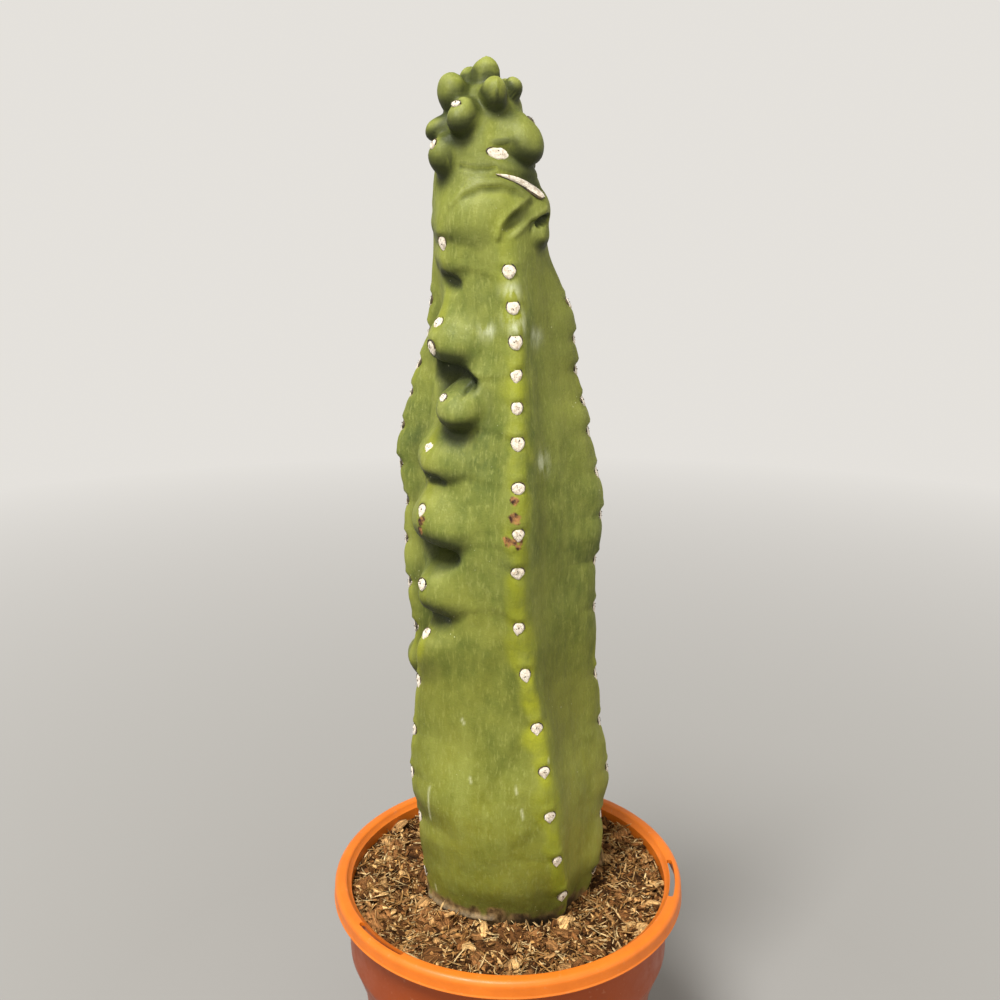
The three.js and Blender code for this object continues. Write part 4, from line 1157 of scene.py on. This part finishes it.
def waxy_skin():
    """Olive green skin: yellower on crests and with age, pale where worn with a painted highlight on up-facing
    ridges, painted shade in folds, hollows and undersides, darker on a band of the lower face, grey with bloom
    in patches, corky at the foot with a painted shadow there, scarred and streaked."""
    skin = Finish("waxy_skin", 0.55, Subsurface_Weight=0.03, Subsurface_Radius=(0.003, 0.005, 0.001),
                  Specular_IOR_Level=0.22)
    noise, span, times, mark, height = skin.noise, skin.span, skin.times, skin.attribute, skin.height
    aged, bend, facing = mark("aged"), mark("bend"), mark("facing")
    skin.colour = skin.ramp(noise(24, 5), (0.36, (0.062, 0.082, 0.012)), (0.5, (0.1, 0.119, 0.017)),
                            (0.64, (0.15, 0.162, 0.024)))
    skin.coat(times(aged, span(noise(30, 4), 0.3, 0.6, 0.3, 0.75)), (0.195, 0.182, 0.013))
    mottled = span(noise(210, 6, (1, 1, 0.6)), 0.38, 0.68)
    skin.coat(times(mottled, 0.5), (0.185, 0.197, 0.036))
    upper = span(height, 0.39, 0.46, 0.0, 0.45)
    skin.coat(upper, (0.168, 0.18, 0.026))
    pores = span(noise(850, 3, (1, 1, 0.3)), 0.54, 0.68)
    skin.coat(times(pores, 0.3), (0.28, 0.29, 0.08))
    streaks = span(noise(150, 6, (1, 1, 0.08)), 0.48, 0.74)
    skin.coat(times(streaks, 0.45), (0.21, 0.225, 0.045))
    bloom = times(mark("bloom"), span(noise(35, 6, (1, 1, 0.4)), 0.35, 0.6))
    greyed = skin.mix(aged, (0.1, 0.106, 0.016), (0.185, 0.166, 0.03))
    skin.coat(times(bloom, 0.65), greyed)
    # Darker band across the lower face, about 205 to 295 mm up
    darker_band = times(span(height, 0.205, 0.24), span(height, 0.295, 0.26))
    skin.coat(darker_band, (0.8, 0.78, 0.62), "MULTIPLY")
    band = times(mark("band"), span(noise(75, 5), 0.32, 0.62, 0.15, 0.9))
    skin.coat(band, (0.19, 0.202, 0.008))
    yellower = times(span(height, 0.29, 0.25, 0.0, 0.6), span(height, 0.185, 0.23))
    skin.coat(times(band, yellower), (0.27, 0.272, 0.012))
    # Paler on ridges: partly wear, partly a painted highlight where they face up
    worn_and_highlit = times(span(bend, 0.02, 0.12), span(noise(130, 5, (1, 1, 0.5)), 0.35, 0.62))
    worn_and_highlit = times(worn_and_highlit, span(facing, -0.1, 0.6, 0.15, 1.0))
    skin.coat(times(worn_and_highlit, 0.55), (0.27, 0.285, 0.085))
    # Painted shade on the knobs of the head: darker where they face down
    knob_underside_shade = times(mark("young"), span(bend, 0.01, 0.09))
    skin.coat(times(knob_underside_shade, span(facing, 0.62, -0.05, 0.0, 0.9)), (0.036, 0.042, 0.006))
    smear = times(mark("smear"), span(noise(240, 6, (1, 1, 0.3)), 0.4, 0.65))
    skin.coat(times(smear, 0.9), (0.5, 0.52, 0.36))
    # Painted shade: darker in creases, on undersides, in hollows and where sheltered from above
    crease_shade, underside_shade = span(bend, -0.03, -0.18, 0.0, 0.6), span(facing, -0.03, -0.44, 0.0, 0.9)
    hollow_shade, shaded = span(mark("hollow_shade"), 0.06, 0.45, 0.0, 0.8), span(mark("shaded"), 0.62, 0.95, 0.0, 0.85)
    for share, dark in ((crease_shade, (0.035, 0.042, 0.006)), (underside_shade, (0.018, 0.022, 0.004)),
                        (hollow_shade, (0.022, 0.028, 0.004)), (shaded, (0.016, 0.022, 0.004))):
        skin.coat(share, dark)
    specks = times(span(skin.cells(330), 0.1, 0.055), span(noise(50, 3), 0.56, 0.68))
    skin.coat(times(specks, 0.6), (0.5, 0.5, 0.3))
    skin.coat(times(mark("scratch"), 0.6), (0.45, 0.45, 0.27))
    scarred = mark("scar")
    scar = span(times(scarred, span(noise(420, 4), 0.3, 0.65, 0.45, 1.6)), 0.35, 0.65)
    skin.coat(scar, skin.ramp(noise(380, 3), (0.4, (0.025, 0.008, 0.003)), (0.62, (0.27, 0.13, 0.04))))
    cork = skin.ramp(noise(380, 5, (1, 1, 0.4)), (0.35, (0.045, 0.026, 0.009)), (0.65, (0.24, 0.15, 0.06)))
    skin.coat(mark("corky"), cork)
    # Painted shadow at the foot
    skin.coat(times(mark("foot_shadow"), 0.9), (0.014, 0.01, 0.005))
    callus = times(mark("callus"), span(noise(260, 5), 0.35, 0.6, 0.1, 0.75))
    skin.coat(callus, (0.3, 0.24, 0.15))
    skin.feed("Roughness", span(noise(90, 5), 0.3, 0.7, 0.46, 0.7))
    skin.bump((noise(1100, 4), 0.3, 0.0006), (noise(300, 5, (1, 1, 0.2)), 0.4, 0.001),
              (noise(240, 5), 0.2, 0.001), (scarred, 0.3, 0.001))
    return skin.painted()


def felted_wool():
    """Off-white felt, a little dirty in patches."""
    wool = Finish("felted_wool", 0.95, Sheen_Weight=0.3)
    wool.colour = wool.ramp(wool.noise(700, 5), (0.32, (0.36, 0.28, 0.19)), (0.55, (0.62, 0.55, 0.44)))
    wool.bump((wool.noise(2600, 4), 0.8, 0.0005))
    return wool.painted()


def spine_and_shadow_dark():
    """Dark finish: the spines' own colour, and painted shadow on the rims above the pads and below the slit.
    """
    edge = Finish("spine_and_shadow_dark", 0.7)
    edge.colour = edge.ramp(edge.noise(500, 3), (0.35, (0.012, 0.01, 0.003)), (0.7, (0.07, 0.045, 0.012)))
    return edge.painted()


def mix_finish(name, low, middle, high):
    """Dry plant matter: its shade from piece to piece, with streaks along the grain."""
    mix = Finish(name, 0.95, Specular_IOR_Level=0.1)
    mix.colour = mix.ramp(mix.attribute("shade"), (0.0, low), (0.5, middle), (1.0, high))
    streaks = mix.grain()
    mix.coat(1.0, mix.span(streaks, 0.34, 0.66, 0.35, 1.35), "MULTIPLY")
    mix.coat(1.0, mix.span(mix.noise(1500, 4), 0.3, 0.7, 0.6, 1.2), "MULTIPLY")
    mix.bump((mix.noise(1800, 4), 0.6, 0.0007), (streaks, 0.9, 0.0016))
    return mix.painted()


def moulded_plastic():
    """Orange plastic, satin, with faint flow marks and dust, and painted shade darkening the pot below the
    rim.
    """
    plastic = Finish("moulded_plastic", 0.4, Specular_IOR_Level=0.3)
    plastic.colour = plastic.ramp(plastic.noise(60, 4), (0.3, (0.49, 0.113, 0.007)),
                                  (0.7, (0.57, 0.138, 0.009)))
    # Painted shade: the whole pot below the rim is darker
    painted_rim_shadow = plastic.span(plastic.height, 0.1272, 0.1262)
    plastic.coat(plastic.times(painted_rim_shadow, 0.85), (0.17, 0.02, 0.001))
    dust = plastic.span(plastic.noise(420, 6), 0.62, 0.75)
    plastic.coat(plastic.times(dust, 0.2), (0.5, 0.3, 0.18))
    plastic.feed("Roughness", plastic.span(plastic.noise(150, 4), 0.3, 0.7, 0.34, 0.5))
    plastic.bump((plastic.noise(1200, 2), 0.05, 0.0004))
    return plastic.painted()


# Studio

def pale_floor():
    """A plain disc, far wider than the view, whose far part fades into the pale room."""
    sides, radii = 96, (1000.0, 9000.0, 60000.0)
    rows = np.stack([around(azimuth_ring(sides), radius, -0.1) for radius in radii])
    points = np.concatenate([rows.reshape(-1, 3), [[0, 0, -0.1]]])
    fan = [(len(points) - 1, k, (k + 1) % sides) for k in range(sides)]
    mesh = plain_mesh("floor", points, rolled_faces(len(radii), sides).tolist() + fan)
    paint = Finish("floor_paint", 0.9, Emission_Color=(*ROOM_COLOUR, 1), Specular_IOR_Level=0.0)
    far = paint.span(paint.distance(), 0.25, 1.5)
    paint.colour = paint.mix(far, FLOOR_COLOUR, (0.0, 0.0, 0.0))
    paint.feed("Emission Strength", far)
    mesh.materials.append(paint.painted())
    floor = in_scene("floor", mesh)


def soft_light():
    """A pale room, brighter in front and dimmer overhead, and a large soft lamp high above the front left."""
    world = bpy.data.worlds.new("studio")
    world.use_nodes = True
    nodes, links = world.node_tree.nodes, world.node_tree.links
    background = nodes["Background"]
    background.inputs["Color"].default_value = (*ROOM_COLOUR, 1)
    ways = nodes.new("ShaderNodeSeparateXYZ")
    links.new(nodes.new("ShaderNodeTexCoord").outputs["Generated"], ways.inputs[0])
    product = nodes.new("ShaderNodeMath")
    product.operation = "MULTIPLY"
    for axis, factor, ends in ((1, 0, (-0.5, 0.3, FRONT_STRENGTH, 1.0)),
                               (2, 1, (0.2, 0.6, 1.0, CEILING_STRENGTH))):
        fade = nodes.new("ShaderNodeMapRange")
        for socket, value in zip(("From Min", "From Max", "To Min", "To Max"), ends):
            fade.inputs[socket].default_value = value
        links.new(ways.outputs[axis], fade.inputs["Value"])
        links.new(fade.outputs["Result"], product.inputs[factor])
    links.new(product.outputs[0], background.inputs["Strength"])
    bpy.context.scene.world = world
    data = bpy.data.lights.new("key", "AREA")
    data.size = KEY_SIZE
    data.energy = KEY_POWER
    lamp = in_scene("key", data)
    lamp.location = KEY_PLACE
    aim = np.array(KEY_PLACE) - KEY_AIM
    lamp.rotation_euler = (math.acos(aim[2] / np.linalg.norm(aim)), 0, math.atan2(aim[0], -aim[1]))


def photo_camera():
    """The camera where the photograph was taken from."""
    data = bpy.data.cameras.new("photo_camera")
    data.lens = LENS
    data.sensor_width = SENSOR
    data.clip_end = 100
    camera = in_scene("photo_camera", data)
    camera.location = np.array(CAMERA_PLACE) * MM
    camera.rotation_euler = (math.radians(90 - PITCH_DOWN), 0, 0)
    bpy.context.scene.camera = camera


photo_camera()
cactus_skin(waxy_skin())
wool, edge = felted_wool(), spine_and_shadow_dark()
areole_pads(wool, edge)
slit_areole(wool, edge)
mix_surface(mix_finish("packed_mix", (0.013, 0.006, 0.002), (0.18, 0.074, 0.022), (0.42, 0.19, 0.062)))
mix_chips(mix_finish("bark", (0.055, 0.021, 0.005), (0.265, 0.108, 0.031), (0.75, 0.46, 0.18)))
mix_fibres(mix_finish("coir", (0.195, 0.084, 0.022), (0.5, 0.26, 0.08), (0.88, 0.64, 0.31)))
mix_crumbs(mix_finish("crumbs", (0.022, 0.009, 0.003), (0.2, 0.082, 0.024), (0.55, 0.29, 0.09)))
nursery_pot(moulded_plastic())
pale_floor()
soft_light()
bpy.context.scene.view_settings.view_transform = "Standard"
